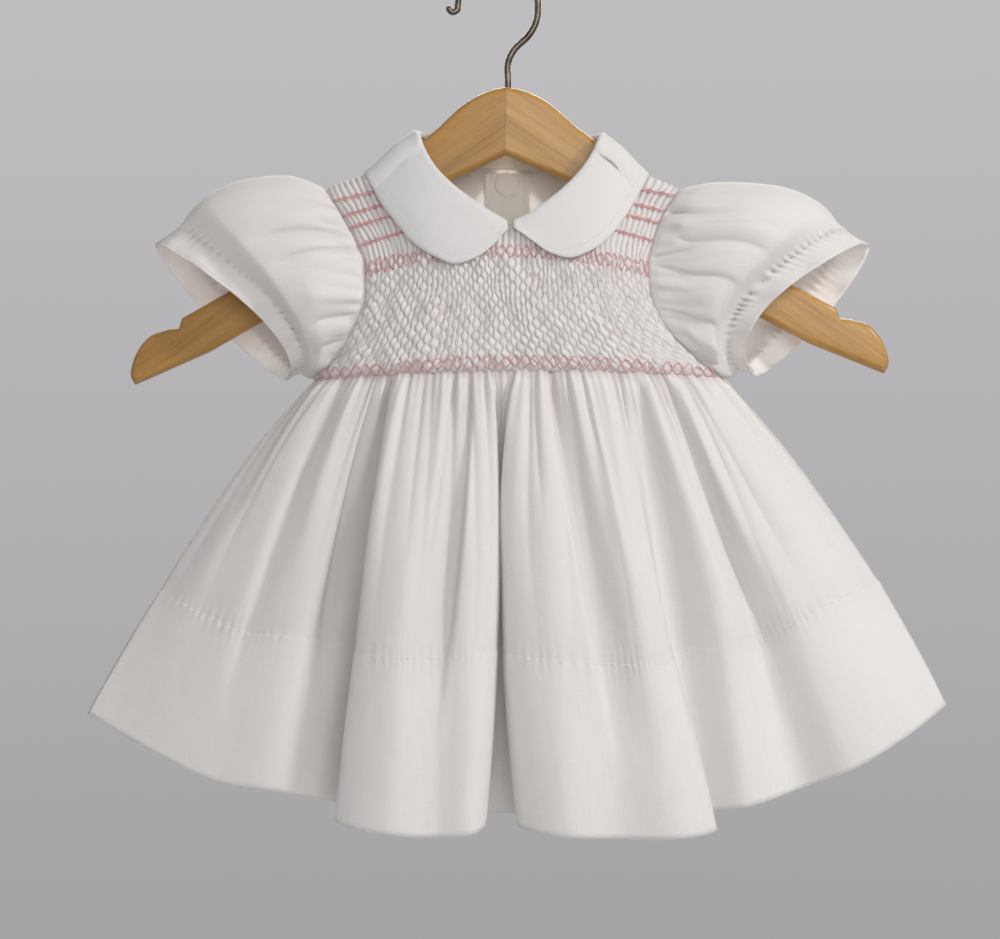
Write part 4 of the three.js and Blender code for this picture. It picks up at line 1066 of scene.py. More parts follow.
@dataclass
class Smocking:
    """The front bodice: cloth pleated small and caught together row by row in a honeycomb."""

    form: BodiceForm
    room: Workroom
    pleats: int = 60
    diamonds: int = 40
    rows: int = 20
    pleat_height: float = 2.1
    pairing: float = 0.36
    row_droop: float = 7.2
    top_row: float = -133.4
    samples: int = 8
    row_step: float = 0.62
    thickness: float = 0.5
    cut: tuple[float, float] = (400.0, 95.0)
    cable_rows: tuple[float, ...] = (-107.8, -115, -120.6, -128.8)
    cable_rise: float = 18
    cable_slant: float = 1.2
    cables_end: float = 0.42
    foot_row: tuple[float, float] = (0.9, 4.4)
    upper_diamond: float = 5.6
    lower_diamond: float = 5.4
    upper_flare: float = 0.3
    rose_radius: float = 0.29
    pale_radius: float = 0.2

    def rows_at(self, a: np.ndarray, z: np.ndarray) -> np.ndarray:
        """Count the smocked rows down to a height.

        Args:
            a: The share across.
            z: The height.

        Returns:
            0 at the upper diamond row and the number of rows at the waist.
        """
        top = self.upper_row(a)
        wavy = 0.12 * Unevenness(11)(a * 26, z * 0.22)
        return (top - z) / (top - self.form.waist(a)) * self.rows + wavy

    def height(self, a: np.ndarray, down: np.ndarray) -> np.ndarray:
        """How far the pleats stand out at a place.

        Args:
            a: The share across.
            down: The share down.

        Returns:
            The height over the plain surface.
        """
        z = self.form.front(a, down)[..., 2]
        u = a * self.pleats
        v = self.rows_at(a, z)
        comb = ease(v / 0.8 + 1.1)
        swing = np.arcsin(0.97 * np.cos(math.pi * u)) * 2 / math.pi
        drift = 0.26 * Unevenness(5)(u * 0.4, v * 0.35) + 0.14 * Unevenness(6)(u * 1.1, v * 0.9)
        paired = np.cos(math.pi * v)
        warped = u + drift - self.pairing * comb * swing * paired
        ridge = np.abs(np.sin(math.pi * warped)) ** 0.62
        plump = 1 + 0.36 * Unevenness(23)(u * 1.1, v * 1.1) * comb
        caught = 1 - 0.45 * comb * np.clip(np.sin(math.pi * u) * paired, 0, 1)
        tall = lerp(0.72, 1.0, comb) * self.pleat_height
        tall = tall * lerp(0.5, 1, ease(down * 14)) * lerp(0.2, 1, ease((1 - down) * 24))
        edge = ease(a * self.pleats / 1.5) * ease((1 - a) * self.pleats / 1.5)
        return tall * ridge * plump * caught * lerp(0.35, 1, edge)

    def build(self) -> bpy.types.Object:
        """Make the pleated cloth.

        Returns:
            The piece.
        """
        columns = np.linspace(0, 1, self.pleats * self.samples + 1)
        downs = np.linspace(0, 1, int(self.cut[1] / self.row_step))
        a, down = np.meshgrid(columns, downs)
        height = self.height(a, down)
        # Painted shade for the cloth's colour: the further a point lies below the pleats' crests, the
        # darker.
        painted_shade = 0.8 * np.clip(1 - height / (0.62 * self.pleat_height), 0, 1) ** 1.6
        outer = lifted(self.form.front, a, down, height)
        coarse = np.meshgrid(columns[:: self.samples // 2], downs[::4])
        inner = lifted(self.form.front, *coarse, np.full(coarse[0].shape, -self.thickness))
        return shell("front_smocking", outer, inner, self.cut, painted_shade=painted_shade)

    def over(self, a: np.ndarray, z: np.ndarray, lift: float) -> np.ndarray:
        """Points that lie over the pleats' crests at given heights.

        Args:
            a: The shares across.
            z: The heights.
            lift: How far over the crests they are.

        Returns:
            The points.
        """
        down = down_to(self.form.front, a, z)
        crest = self.height(a, down) * 0.5 + self.pleat_height * 0.42
        return lifted(self.form.front, a, down, crest + lift)

    def upper_row(self, a: np.ndarray) -> np.ndarray:
        """The height of the upper diamonds' middle at a share across."""
        return self.top_row - self.row_droop * (2 * a - 1) ** 2

    def row_height(self, a: np.ndarray, row: np.ndarray) -> np.ndarray:
        """The height of a smocked row at a share across."""
        return lerp(self.upper_row(a), self.form.waist(a), row / self.rows)

    def lower_row(self, a: np.ndarray) -> np.ndarray:
        """The height of the lower diamonds' middle at a share across."""
        return self.form.waist(a) + lerp(*self.foot_row, 1 - (2 * a - 1) ** 2)

    def zigzag(
        self, middle: Callable[[np.ndarray], np.ndarray], tall: float, flare: float
    ) -> list[np.ndarray]:
        """The threads of a row of diamonds, each over a pleat and a half.

        Args:
            middle: The height of the row's middle at a share across.
            tall: How high the diamonds are at the centre.
            flare: How much higher they are at the sides, as a share.

        Returns:
            The points of each thread.
        """
        share = np.linspace(0, 1, 9)
        swing = 0.4 * share + 0.3 * (1 - np.cos(math.pi * share)) - 0.5
        which = np.arange(self.diamonds)
        a = np.clip((which[:, None] + share) / self.diamonds, 0.003, 0.997)
        x = self.form.front(a, down_to(self.form.front, a, middle(a)))[..., 0]
        size = tall * (1 + flare * (2 * a - 1) ** 2)
        turned = np.where(which % 2 == 0, 1, -1)[:, None]
        threads = []
        for way in (1, -1):
            uneven = 1 + 0.14 * Unevenness(71)(a * 40, way + 0 * a)
            z = middle(a) + way * turned * size * swing * uneven
            threads += list(self.over(self.form.place(self.form.front, x, z)[0], z, 0.15))
        return threads

    def cables(self) -> list[np.ndarray]:
        """The short crossing stitches of the shoulders' cable rows.

        Returns:
            The points of each stitch.
        """
        threads = []
        share = np.linspace(-0.62, 0.62, 5)
        for level in self.cable_rows:
            for pleat in range(self.pleats):
                a0 = (pleat + 0.5) / self.pleats
                off = abs(2 * a0 - 1)
                start = self.form.front(np.array([a0]), np.array([0.0]))[0]
                z0 = level + self.cable_rise * (1 - off) + self.cable_slant * (2 * a0 - 1)
                if z0 > start[2] - 1 or off < self.cables_end:
                    continue
                for strand in (-1, 1):
                    tilt = 0.3 * (1 if pleat % 2 else -1) * strand
                    a = np.clip(a0 + share / self.pleats, 0.003, 0.997)
                    threads.append(self.over(a, z0 + tilt * share * 2 + 0.22 * strand, 0.2))
        return threads

    def catches(self) -> list[np.ndarray]:
        """The pale stitches that hold the honeycomb's pleats in pairs.

        Returns:
            The points of each stitch.
        """
        rng = np.random.default_rng(8)
        threads = []
        share = np.linspace(-0.5, 0.5, 4)
        for row in range(1, self.rows - 1):
            for pleat in range(1, self.pleats - 1):
                if (pleat + row) % 2 or rng.random() < 0.6:
                    continue
                a = (pleat + 0.5 + share * rng.uniform(0.5, 0.9)) / self.pleats
                at = self.row_height(a, row + rng.uniform(-0.12, 0.12) + share * rng.uniform(-0.2, 0.2))
                threads.append(self.over(a, at, 0.0))
        return threads

    def dress(self) -> None:
        """Make the smocking with its embroidery."""
        cloth = self.room.dress(self.build(), LAWN, Slot.LAWN)
        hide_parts("front")
        rose = self.zigzag(self.upper_row, self.upper_diamond, self.upper_flare)
        rose += self.zigzag(self.lower_row, self.lower_diamond, 0) + self.cables()
        pink = self.room.dress(sewn("rose_embroidery", rose, self.rose_radius), PINK_THREAD, Slot.LAWN)
        held = sewn("honeycomb_stitches", self.catches(), self.pale_radius)
        pale = self.room.dress(held, PALE_THREAD, Slot.LAWN)


class Fold(NamedTuple):
    """A fold of a skirt: where it is gathered, and its place half way down and at the hem."""

    gathered: float
    mid_x: float
    hem_x: float
    hem_y: float
    hem_z: float


class Crease(NamedTuple):
    """A ridge or trough that runs down the cloth from one share across to another."""

    start: float
    end: float
    top: float
    foot: float
    width: float
    depth: float
    sharp: bool = False
    lean: float = 0.0


def creased(
    creases: Sequence[Crease], across: np.ndarray, along: np.ndarray, widening: tuple[float, float]
) -> np.ndarray:
    """How far creases stand out of the cloth.

    Args:
        creases: The creases, soft or sharp.
        across: The share across, or round a sleeve.
        along: The share along them.
        widening: How wide they are at the start and at the end, as a share of their width.

    Returns:
        The height that they add.
    """
    total = np.zeros(np.broadcast(across, along).shape)
    for crease in creases:
        reach = (along - crease.top) / (crease.foot - crease.top)
        centre = lerp(crease.start, crease.end, np.clip(reach, 0, 1))
        fade = ease(reach * 6 + 0.3) * ease((1 - reach) * 2)
        side = across - centre
        lean = 1 + crease.lean * np.sign(side)
        off = np.abs(side) / (crease.width * lerp(*widening, along) * lean)
        total = total + crease.depth * np.exp(-off if crease.sharp else -off * off) * fade
    return total


FRONT_FOLDS = [
    Fold(0, -146.5, -193.5, 0, -343.9),
    Fold(0.04, -128.5, -162.7, -16, -359.3),
    Fold(0.085, -110.5, -131.7, -28, -372.2),
    Fold(0.15, -84.5, -101.0, -34, -376.5),
    Fold(0.19, -63.5, -74.3, -8, -385.2),
    Fold(0.215, -64.0, -75.6, -46, -388.0),
    Fold(0.27, -47.0, -53.7, -60, -392.0),
    Fold(0.335, -30.0, -31.8, -56, -393.6),
    Fold(0.385, -14.8, -16.4, -58, -392.3),
    Fold(0.425, -5.0, -9.9, -47, -389.6),
    Fold(0.45, -4.3, -11.1, -7, -389.4),
    Fold(0.475, -1.2, 6.9, -7, -389.4),
    Fold(0.5, -0.5, 5.6, -47, -390.1),
    Fold(0.55, 17.5, 25.3, -61, -393.0),
    Fold(0.615, 41.0, 49.4, -57, -394.0),
    Fold(0.68, 57.5, 75.7, -60, -393.6),
    Fold(0.74, 70.0, 92.3, -50, -391.2),
    Fold(0.77, 71.0, 88.9, -26, -386.6),
    Fold(0.805, 92.0, 108.0, -34, -382.8),
    Fold(0.855, 106.0, 133.0, -20, -376.5),
    Fold(0.9, 121.0, 156.8, -28, -366.4),
    Fold(0.95, 138.0, 182.9, -20, -351.5),
    Fold(1, 158.6, 202.7, 0, -340.2),
]
BACK_FOLDS = [
    Fold(0, -146.5, -193.5, 0, -343.9),
    Fold(0.09, -127, -158, 24, -357),
    Fold(0.18, -97, -124, 17, -366),
    Fold(0.27, -77, -96, 40, -374),
    Fold(0.35, -49, -60, 26, -379),
    Fold(0.44, -25, -34, 47, -383),
    Fold(0.52, 2, 2, 30, -383),
    Fold(0.6, 29, 38, 47, -382),
    Fold(0.69, 58, 72, 25, -377),
    Fold(0.77, 84, 106, 40, -371),
    Fold(0.85, 108, 134, 18, -364),
    Fold(0.93, 136, 172, 24, -352),
    Fold(1, 158.6, 202.7, 0, -340.2),
]
FRONT_CREASES = [
    Crease(0.025, 0.04, 0.0, 0.5, 0.012, -1.8),
    Crease(0.059, 0.03, 0.05, 0.8, 0.014, 1.6),
    Crease(0.107, 0.097, 0.03, 0.9, 0.011, -3.2, True, 0.7),
    Crease(0.134, 0.14, 0.0, 0.55, 0.01, 1.6),
    Crease(0.172, 0.174, 0.0, 0.8, 0.012, -4.0, True, 0.8),
    Crease(0.215, 0.165, 0.0, 0.85, 0.012, -2.6),
    Crease(0.269, 0.258, 0.0, 0.6, 0.01, 1.6),
    Crease(0.31, 0.305, 0.0, 0.45, 0.007, -1.6, True),
    Crease(0.365, 0.334, 0.0, 0.5, 0.006, -2.2, True),
    Crease(0.394, 0.349, 0.02, 0.85, 0.013, -4.6, False, -0.75),
    Crease(0.438, 0.476, 0.0, 0.95, 0.006, -2.6, True),
    Crease(0.49, 0.505, 0.0, 0.6, 0.009, 1.5),
    Crease(0.537, 0.53, 0.0, 0.5, 0.009, 1.7),
    Crease(0.578, 0.585, 0.0, 0.35, 0.006, -1.9, True),
    Crease(0.607, 0.645, 0.0, 0.9, 0.014, -4.6, False, 0.7),
    Crease(0.676, 0.684, 0.0, 0.55, 0.009, 1.7),
    Crease(0.74, 0.733, 0.0, 0.9, 0.012, -4.2, True, 0.8),
    Crease(0.794, 0.835, 0.0, 0.85, 0.012, 2.0),
    Crease(0.828, 0.87, 0.0, 0.8, 0.012, -3.0, True, 0.7),
    Crease(0.865, 0.9, 0.0, 0.7, 0.011, 1.7),
    Crease(0.905, 0.925, 0.0, 0.6, 0.009, -1.8, True),
    Crease(0.935, 0.95, 0.04, 0.75, 0.013, 1.6),
]
BACK_CREASES = [
    Crease(0.06, 0.07, 0.0, 0.6, 0.014, 1.6),
    Crease(0.14, 0.15, 0.0, 0.8, 0.012, -1.6),
    Crease(0.23, 0.24, 0.0, 0.5, 0.012, 1.5),
    Crease(0.33, 0.32, 0.0, 0.9, 0.013, -1.4),
    Crease(0.41, 0.4, 0.0, 0.6, 0.011, 1.7),
    Crease(0.49, 0.5, 0.0, 0.8, 0.012, -1.6),
    Crease(0.57, 0.58, 0.0, 0.55, 0.011, 1.5),
    Crease(0.66, 0.66, 0.0, 0.85, 0.013, 1.4),
    Crease(0.75, 0.76, 0.0, 0.7, 0.011, -1.7),
    Crease(0.84, 0.85, 0.0, 0.6, 0.012, 1.5),
    Crease(0.92, 0.93, 0.0, 0.8, 0.013, -1.5),
]


@dataclass
class Skirt:
    """A gathered skirt panel with its deep folds, soft creases and double hem."""

    form: BodiceForm
    room: Workroom
    name: str
    folds: list[Fold]
    creases: list[Crease]
    facing: int
    flat: tuple[float, float]
    columns: int = 440
    rows: int = 84
    gathers: int = 23
    gather_height: float = 2.6
    scallop: float = 1.3
    opening: float = 1.8
    left_puff: float = 11
    right_puff: float = 5
    thickness: float = 0.5
    hem_thickness: float = 0.9
    hem_starts: float = 0.625
    seed: int = 3

    def __post_init__(self) -> None:
        """Draw the hem's curve through the folds."""
        gathered, *places = (np.array(column) for column in zip(*self.folds))
        mid_x, hem_x, hem_y, hem_z = places
        run = np.linalg.norm(np.diff(np.stack([hem_x, hem_y, hem_z]), axis=1), axis=0)
        length = np.concatenate([[0], np.cumsum(run)])
        self.hem_length = float(length[-1])
        column = (gathered + length / length[-1]) / 2
        self.gathered_at = Curve.smooth(column, gathered)
        self.hem_at = Curve.smooth(column, length)
        self.mid_x, self.hem_x, self.hem_y, self.hem_z = (
            Curve.round(length, value) for value in (mid_x, hem_x, hem_y, hem_z)
        )

    def waist_point(self, share: np.ndarray) -> np.ndarray:
        """The seam at the waist, at a share across.

        Args:
            share: The share across.

        Returns:
            The points.
        """
        if self.facing > 0:
            return self.form.front(share, np.ones_like(share))
        x = lerp(self.form.left_underarm[0], self.form.right_underarm[0], share)
        return self.form.back_at(x, np.ones_like(share))

    def surface(self, column: np.ndarray, down: np.ndarray) -> np.ndarray:
        """The skirt before its gathers and creases.

        Args:
            column: The share from the left seam to the right one.
            down: The share from the waist to the hem.

        Returns:
            The points.
        """
        share, hem = self.gathered_at(column), self.hem_at(column)
        top = self.waist_point(np.clip(share, 0, 1))
        x = top[..., 0] * (1 - down) * (1 - 2 * down) + self.mid_x(hem) * 4 * down * (1 - down)
        x = x + self.hem_x(hem) * down * (2 * down - 1)
        side = self.right_puff * share**6 - self.left_puff * (1 - share) ** 6
        opened = 1 - np.maximum(0, 1 - down) ** self.opening
        tube = np.abs(np.cos(math.pi * self.gathering(share, down)))
        scallop = self.scallop * tube * np.maximum(0, 1 - down * 16)
        return points(
            x + 4 * down * (1 - down) ** 4 * side,
            lerp(top[..., 1], self.hem_y(hem), opened),
            lerp(top[..., 2], self.hem_z(hem), down) + scallop,
        )

    def gathering(self, share: np.ndarray, down: np.ndarray) -> np.ndarray:
        """The gather in which a place lies, counted from the left."""
        turns = self.gathers * share + 0.4 * np.sin(share * 13 + 0.5) + 0.2 * np.sin(share * 31)
        return turns + 0.09 * np.sin(share * 67 + 2 + 6 * down)

    def relief(self, column: np.ndarray, down: np.ndarray) -> np.ndarray:
        """How far gathers, creases and the hem stand out.

        Args:
            column: The share across.
            down: The share down.

        Returns:
            The height over the plain surface.
        """
        share = self.gathered_at(column)
        rng = np.random.default_rng(self.seed)
        reach = rng.uniform(1.0, 3.2, self.gathers + 2)
        depth = rng.uniform(0.5, 1.5, self.gathers + 2)
        turns = self.gathering(share, down)
        which = np.clip(np.round(turns), 0, self.gathers).astype(int)
        tube = np.abs(np.cos(math.pi * turns)) ** 0.9
        gathered = self.gather_height * depth[which] * tube * np.maximum(0, 1 - down) ** reach[which]
        gathered = gathered * lerp(0.12, 1, ease(down * 22))
        fine = 0.35 * np.cos(math.tau * self.gathers * 2.43 * share) * np.maximum(0, 1 - down * 5) ** 1.5
        total = gathered + fine + creased(self.creases, column, down, (0.8, 1.8))
        seams = ease(column * 60) * ease((1 - column) * 60)
        return total * seams * ease(down * 14 + 0.7) + self.hem_relief(column, down)

    def painted_shade(self, column: np.ndarray, down: np.ndarray, relief: np.ndarray) -> np.ndarray:
        """How much painted shade the cloth gets: between gathers, in the troughs of creases, and a little
        where it is single, over the hem.

        Args:
            column: The share across.
            down: The share down.
            relief: How far the cloth stands out there.

        Returns:
            The painted shade, from 0 to 1.
        """
        single = 0.035 * (1 - ease((down - self.hem_line(column)) * 300 + 0.5))
        valleys = 0.4 * np.clip(1 - relief / 1.2, 0, 1) * np.exp(-down * 14)
        return single + valleys + 0.12 * np.clip(-relief / 3, 0, 1)

    def hem_relief(self, column: np.ndarray, down: np.ndarray) -> np.ndarray:
        """The step and the small puckers where the hem is sewn.

        Args:
            column: The share across.
            down: The share down.

        Returns:
            The height that they add.
        """
        past = (down - self.hem_line(column)) * 200
        step = 0.35 * ease(past / 1.2 + 0.5)
        pitch = column * self.hem_length / 5.2 + 0.7 * Unevenness(31)(column * 60, down * 3)
        pucker = 0.42 * np.cos(math.tau * pitch) * np.exp(-np.abs(past) / 3.5)
        soft = 0.3 * Unevenness(37)(column * 90, down * 12) * np.exp(-((past / 14) ** 2))
        return step + pucker * (0.6 + 0.4 * np.sin(column * 23)) + soft

    def hem_line(self, column: np.ndarray) -> np.ndarray:
        """The share down at which the hem is sewn."""
        return self.hem_starts + 0.008 * np.sin(column * 9 + 1)

    def build(self) -> bpy.types.Object:
        """Make the cloth, with closer rows along the hem's seam.

        Returns:
            The piece.
        """
        downs = np.linspace(0, 1, self.rows + 1) ** 1.12
        sewn_at = np.abs(downs - self.hem_starts).argmin()
        near = np.linspace(downs[sewn_at - 3], downs[sewn_at + 3], 15)
        downs = np.concatenate([downs[: sewn_at - 3], near, downs[sewn_at + 4 :]])
        column, down = np.meshgrid(np.linspace(0, 1, self.columns + 1), downs)
        relief = self.relief(column, down)
        thick = lerp(self.thickness, self.hem_thickness, ease((down - self.hem_starts) * 40 + 0.5))
        outer, inner = walls(self.surface, column, down, relief, thick, self.facing)
        # Each point's painted shade, which darkens the cloth's colour.
        painted_shade = self.painted_shade(column, down, relief)
        for rows in (outer, inner):
            rows[..., 1] = self.facing * np.minimum(rows[..., 1] * self.facing, -HALF_SEAM / 2)
        return shell(self.name, outer, inner, (self.hem_length, 200.0), painted_shade=painted_shade)

    def stitches(self) -> bpy.types.Object:
        """Make the hem's row of stitches.

        Returns:
            The piece.
        """
        column = np.linspace(0.004, 0.996, 900)
        down = self.hem_line(column)
        line = lifted(self.surface, column, down, self.relief(column, down) + 0.12, self.facing)
        return sewn(self.name + "_hem_stitches", dashes(line, 2.2, 1.1), SEWING_THREAD, 4)

    def dress(self, node: str) -> None:
        """Make the panel and its stitches.

        Args:
            node: The frame's node that it replaces.
        """
        cloth = self.room.dress(self.build(), LAWN, Slot.LAWN)
        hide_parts(node)
        thread = self.room.dress(self.stitches(), WHITE_THREAD, Slot.LAWN)


@dataclass
class BackBodice:
    """Half of the plain back bodice."""

    form: BodiceForm
    room: Workroom
    side: Side
    columns: int = 70
    rows: int = 90
    thickness: float = 0.5

    def surface(self, across: np.ndarray, down: np.ndarray) -> np.ndarray:
        """The back, from the armhole to the centre."""
        return self.form.back(self.side, across, down)

    def relief(self, across: np.ndarray, down: np.ndarray) -> np.ndarray:
        """How far its light creases stand out.

        Args:
            across: The share across.
            down: The share down.

        Returns:
            The height over the plain surface.
        """
        drag = 0.8 * bump(across - 0.25 - 0.5 * down, 0.07) * ease(down * 3) * ease((1 - down) * 2)
        pulled = 1.4 * np.sin(across * 31) * np.maximum(0, down - 0.75)
        soft = 0.35 * Unevenness(41 + self.side.value)(across * 8, down * 7)
        inside = ease(across * 12) * ease((1 - across) * 12) * ease((1 - down) * 20 + 0.2)
        return (drag + pulled + soft) * inside

    def dress(self) -> None:
        """Make the half."""
        across, down = np.meshgrid(np.linspace(0, 1, self.columns + 1), np.linspace(0, 1, self.rows + 1))
        relief = self.relief(across, down)
        outer, inner = walls(self.surface, across, down, relief, self.thickness, self.side.value)
        word = self.side.name.lower()
        piece = shell(f"back_bodice_{word}_cloth", outer, inner, (95.0, 110.0))
        # The back bodice wears the lawn's brighter copy, with painted light.
        self.room.dress(piece, LIT_BACK_LAWN, Slot.LAWN)
        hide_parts(f"back_bodice_{word}")


class Section(NamedTuple):
    """A section of a sleeve: its ends seen from the front, its depths and how it leans."""

    at: float
    top_x: float
    top_z: float
    base_x: float
    base_z: float
    front: float
    back: float
    front_lean: float
    back_lean: float
    skew: float


LEFT_SLEEVE = [
    Section(0.2, -100, -96.0, -89.6, -189.8, 25, 20, 15, 8, -0.2),
    Section(0.42, -122, -99.2, -91.2, -189.4, 28, 23, 13, 3, 0.15),
    Section(0.62, -141.0, -108, -93.0, -188.6, 27, 22, 11, -2, 0.5),
    Section(0.82, -152.0, -120.5, -96.0, -187.0, 18, 16, 11, -4, 0.5),
    Section(1, -162.0, -127.5, -101.1, -189.6, 21, 19, 10, -6.5, 0.5),
]
RIGHT_SLEEVE = [
    Section(0.2, 97, -98.8, 100.6, -188.7, 25, 20, 17, 8, -0.2),
    Section(0.42, 126.0, -101.6, 102.2, -188.4, 28, 23, 16, 3, 0.15),
    Section(0.62, 146.0, -109.6, 104.2, -187.6, 27, 22, 17, -2, 0.5),
    Section(0.82, 156.0, -120.5, 107.4, -185.6, 18, 16, 16, -5, 0.5),
    Section(1, 167.0, -127.6, 113.6, -187.6, 21, 19, 15, -8, 0.5),
]
LEFT_SLEEVE_CREASES = [
    Crease(0.1, 0.16, 0.02, 0.45, 0.022, 1.5),
    Crease(0.125, 0.16, 0.0, 0.3, 0.009, -1.9, True),
    Crease(0.148, 0.2, 0.0, 0.7, 0.015, -3.4, True, 0.6),
    Crease(0.182, 0.255, 0.0, 0.66, 0.014, -3.2, True, 0.6),
    Crease(0.215, 0.225, 0.0, 0.5, 0.018, 1.4),
    Crease(0.3, 0.31, 0.0, 0.55, 0.02, 1.5),
    Crease(0.343, 0.363, 0.0, 0.6, 0.012, -2.2, True),
    Crease(0.405, 0.433, 0.0, 0.75, 0.014, -2.4, True),
    Crease(0.455, 0.46, 0.05, 0.7, 0.02, 1.5),
    Crease(0.62, 0.6, 0.0, 0.6, 0.016, -1.8, True),
    Crease(0.72, 0.74, 0.0, 0.8, 0.02, 1.8),
    Crease(0.85, 0.83, 0.0, 0.7, 0.016, -2.0, True),
    Crease(0.95, 0.94, 0.0, 0.6, 0.016, -1.4),
]
RIGHT_SLEEVE_CREASES = [
    Crease(0.085, 0.12, 0.0, 0.42, 0.012, -2.6, True, 0.5),
    Crease(0.13, 0.19, 0.08, 0.72, 0.012, 2.0, False, 0.4),
    Crease(0.165, 0.225, 0.12, 0.75, 0.01, -2.0, True, 0.5),
    Crease(0.205, 0.185, 0.0, 0.3, 0.012, -2.6, True, 0.5),
    Crease(0.225, 0.3, 0.0, 0.74, 0.01, -1.9, True, 0.5),
    Crease(0.27, 0.31, 0.0, 0.55, 0.02, 0.8),
    Crease(0.33, 0.385, 0.0, 0.74, 0.011, -2.0, True, 0.5),
    Crease(0.38, 0.44, 0.1, 0.7, 0.02, 1.6),
    Crease(0.46, 0.46, 0.0, 0.6, 0.012, -1.6, True),
    Crease(0.63, 0.62, 0.0, 0.7, 0.016, -1.9, True),
    Crease(0.77, 0.78, 0.0, 0.7, 0.02, 1.8),
    Crease(0.88, 0.86, 0.0, 0.8, 0.016, -2.0, True),
]


@dataclass
class Sleeve:
    """A short puff sleeve, gathered at the armhole and shirred above its frill."""

    form: BodiceForm
    room: Workroom
    side: Side
    sections: list[Section]
    creases: list[Crease]
    around: int = 300
    rows: int = 84
    gathers: int = 26
    frill_starts: float = 0.82
    frill_waves: int = 11
    frill_wave: float = 0.7
    edge_starts: float = 0.965
    shirring_apart: float = 0.02
    seam: float = 0.05
    thickness: float = 0.5
    edge_thickness: float = 0.8

    def __post_init__(self) -> None:
        """Draw the curves through the sections."""
        at, *columns = zip(*self.sections)
        names = Section._fields[1:]
        self.curve = {name: Curve.smooth(at, column) for name, column in zip(names, columns)}
        self.first = at[0]

    def ring(self, turn: np.ndarray) -> np.ndarray:
        """The armhole, moved off the bodice's edge by the seam's gap.

        Args:
            turn: The share round it, from the shoulder down the front and up the back.

        Returns:
            The points.
        """
        down = np.where(turn <= 0.5, 2 * turn, 2 - 2 * turn)
        rings = []
        for ahead in (True, False):
            none, held = np.zeros_like(down), np.clip(down, 0.01, 0.99)
            along = unit(self.panel(ahead, none, down + TINY) - self.panel(ahead, none, down - TINY))
            into = self.panel(ahead, none + 0.03, held) - self.panel(ahead, none, held)
            into = unit(into - along * np.sum(into * along, axis=-1, keepdims=True))
            rings.append(self.panel(ahead, none, down) - into * self.seam)
        return np.where((turn <= 0.5)[..., None], rings[0], rings[1])

    def panel(self, ahead: bool, inset: np.ndarray, down: np.ndarray) -> np.ndarray:
        """The bodice beside the armhole, in front or behind, at a share in from its edge.

        Args:
            ahead: Whether it is the front.
            inset: The share in from the edge.
            down: The share down.

        Returns:
            The points.
        """
        if not ahead:
            return self.form.back(self.side, inset, down)
        return self.form.front(inset if self.side is Side.LEFT else 1 - inset, down)

    def section(self, turn: np.ndarray, out: np.ndarray) -> np.ndarray:
        """The sleeve past its crown.

        Args:
            turn: The share round it.
            out: The share from the armhole to the frill's edge.

        Returns:
            The points.
        """
        ahead = turn <= 0.5
        down = np.where(ahead, 2 * turn, 2 - 2 * turn)
        by_seam = np.arccos(np.clip(1 - 2 * down, -1, 1))
        half = lerp(by_seam, math.pi * down, np.clip(out / 0.7, 0, 1))
        angle = np.where(ahead, half, math.tau - half)
        read = {name: curve(out) for name, curve in self.curve.items()}
        top = points(read["top_x"], 0, read["top_z"])
        base = points(read["base_x"], 0, read["base_z"])
        chord = top - base
        lean = unit(points(-self.side.value * np.abs(chord[..., 2]), 0, np.abs(chord[..., 0])))
        sway = np.sin(angle)
        depth = np.where(sway > 0, read["front"], read["back"]) * sway
        skew = 1 - read["skew"] * np.cos(angle)
        across = np.where(sway > 0, read["front_lean"] * skew, read["back_lean"]) * np.abs(sway)
        middle = (top + base) / 2 + chord * (np.cos(angle) / 2)[..., None]
        return middle + lean * across[..., None] + points(0 * depth, -depth, 0 * depth)

    def surface(self, turn: np.ndarray, out: np.ndarray) -> np.ndarray:
        """The sleeve before its gathers and creases.

        Args:
            turn: The share round it.
            out: The share from the armhole to the frill's edge.

        Returns:
            The points.
        """
        whole = np.mod(turn, 1)
        beyond = out - self.first
        eased = self.first + (beyond + np.sqrt(beyond**2 + 0.004)) / 2
        past = self.section(whole, np.clip(eased, self.first, 1))
        share = 1 - (1 - np.clip(out / 0.32, 0, 1)) ** 2.2
        return lerp(self.ring(whole), past, share[..., None])

    def relief(self, turn: np.ndarray, out: np.ndarray) -> np.ndarray:
        """How far gathers, creases, shirring and frill stand out.

        Args:
            turn: The share round the sleeve.
            out: The share along it.

        Returns:
            The height over the plain surface.
        """
        uneven = Unevenness(51 + self.side.value)
        turns = self.gathers * turn + 0.3 * np.sin(math.tau * turn * 3 + 1)
        head = 1.3 * np.abs(np.cos(math.pi * turns)) * np.exp(-out / 0.16) * ease(out * 22)
        puff = 0.6 * ease((out - 0.04) / 0.25) * ease((0.74 - out) / 0.3)
        tight = np.exp(-np.abs(out - self.frill_starts) / 0.028)
        pleats = 62 * turn + 0.5 * uneven(turn * 40, out * 2)
        shirring = 0.85 * np.cos(math.tau * pleats) * tight * (1 + 0.4 * uneven(turn * 30, out))
        pulled = -0.35 * bump(out - self.frill_starts, 0.03)
        grown = np.clip((out - self.frill_starts) / (1 - self.frill_starts), 0, 1)
        frill = self.frill_wave * grown * np.cos(math.tau * self.frill_waves * turn + 1)
        soft = 0.7 * uneven(turn * 16, out * 5) * ease(out * 5) * (1 - tight)
        folds = creased(self.creases, turn, out, (0.7, 1.8))
        return (head + puff + shirring + pulled + frill + soft + folds) * ease(out * 30)

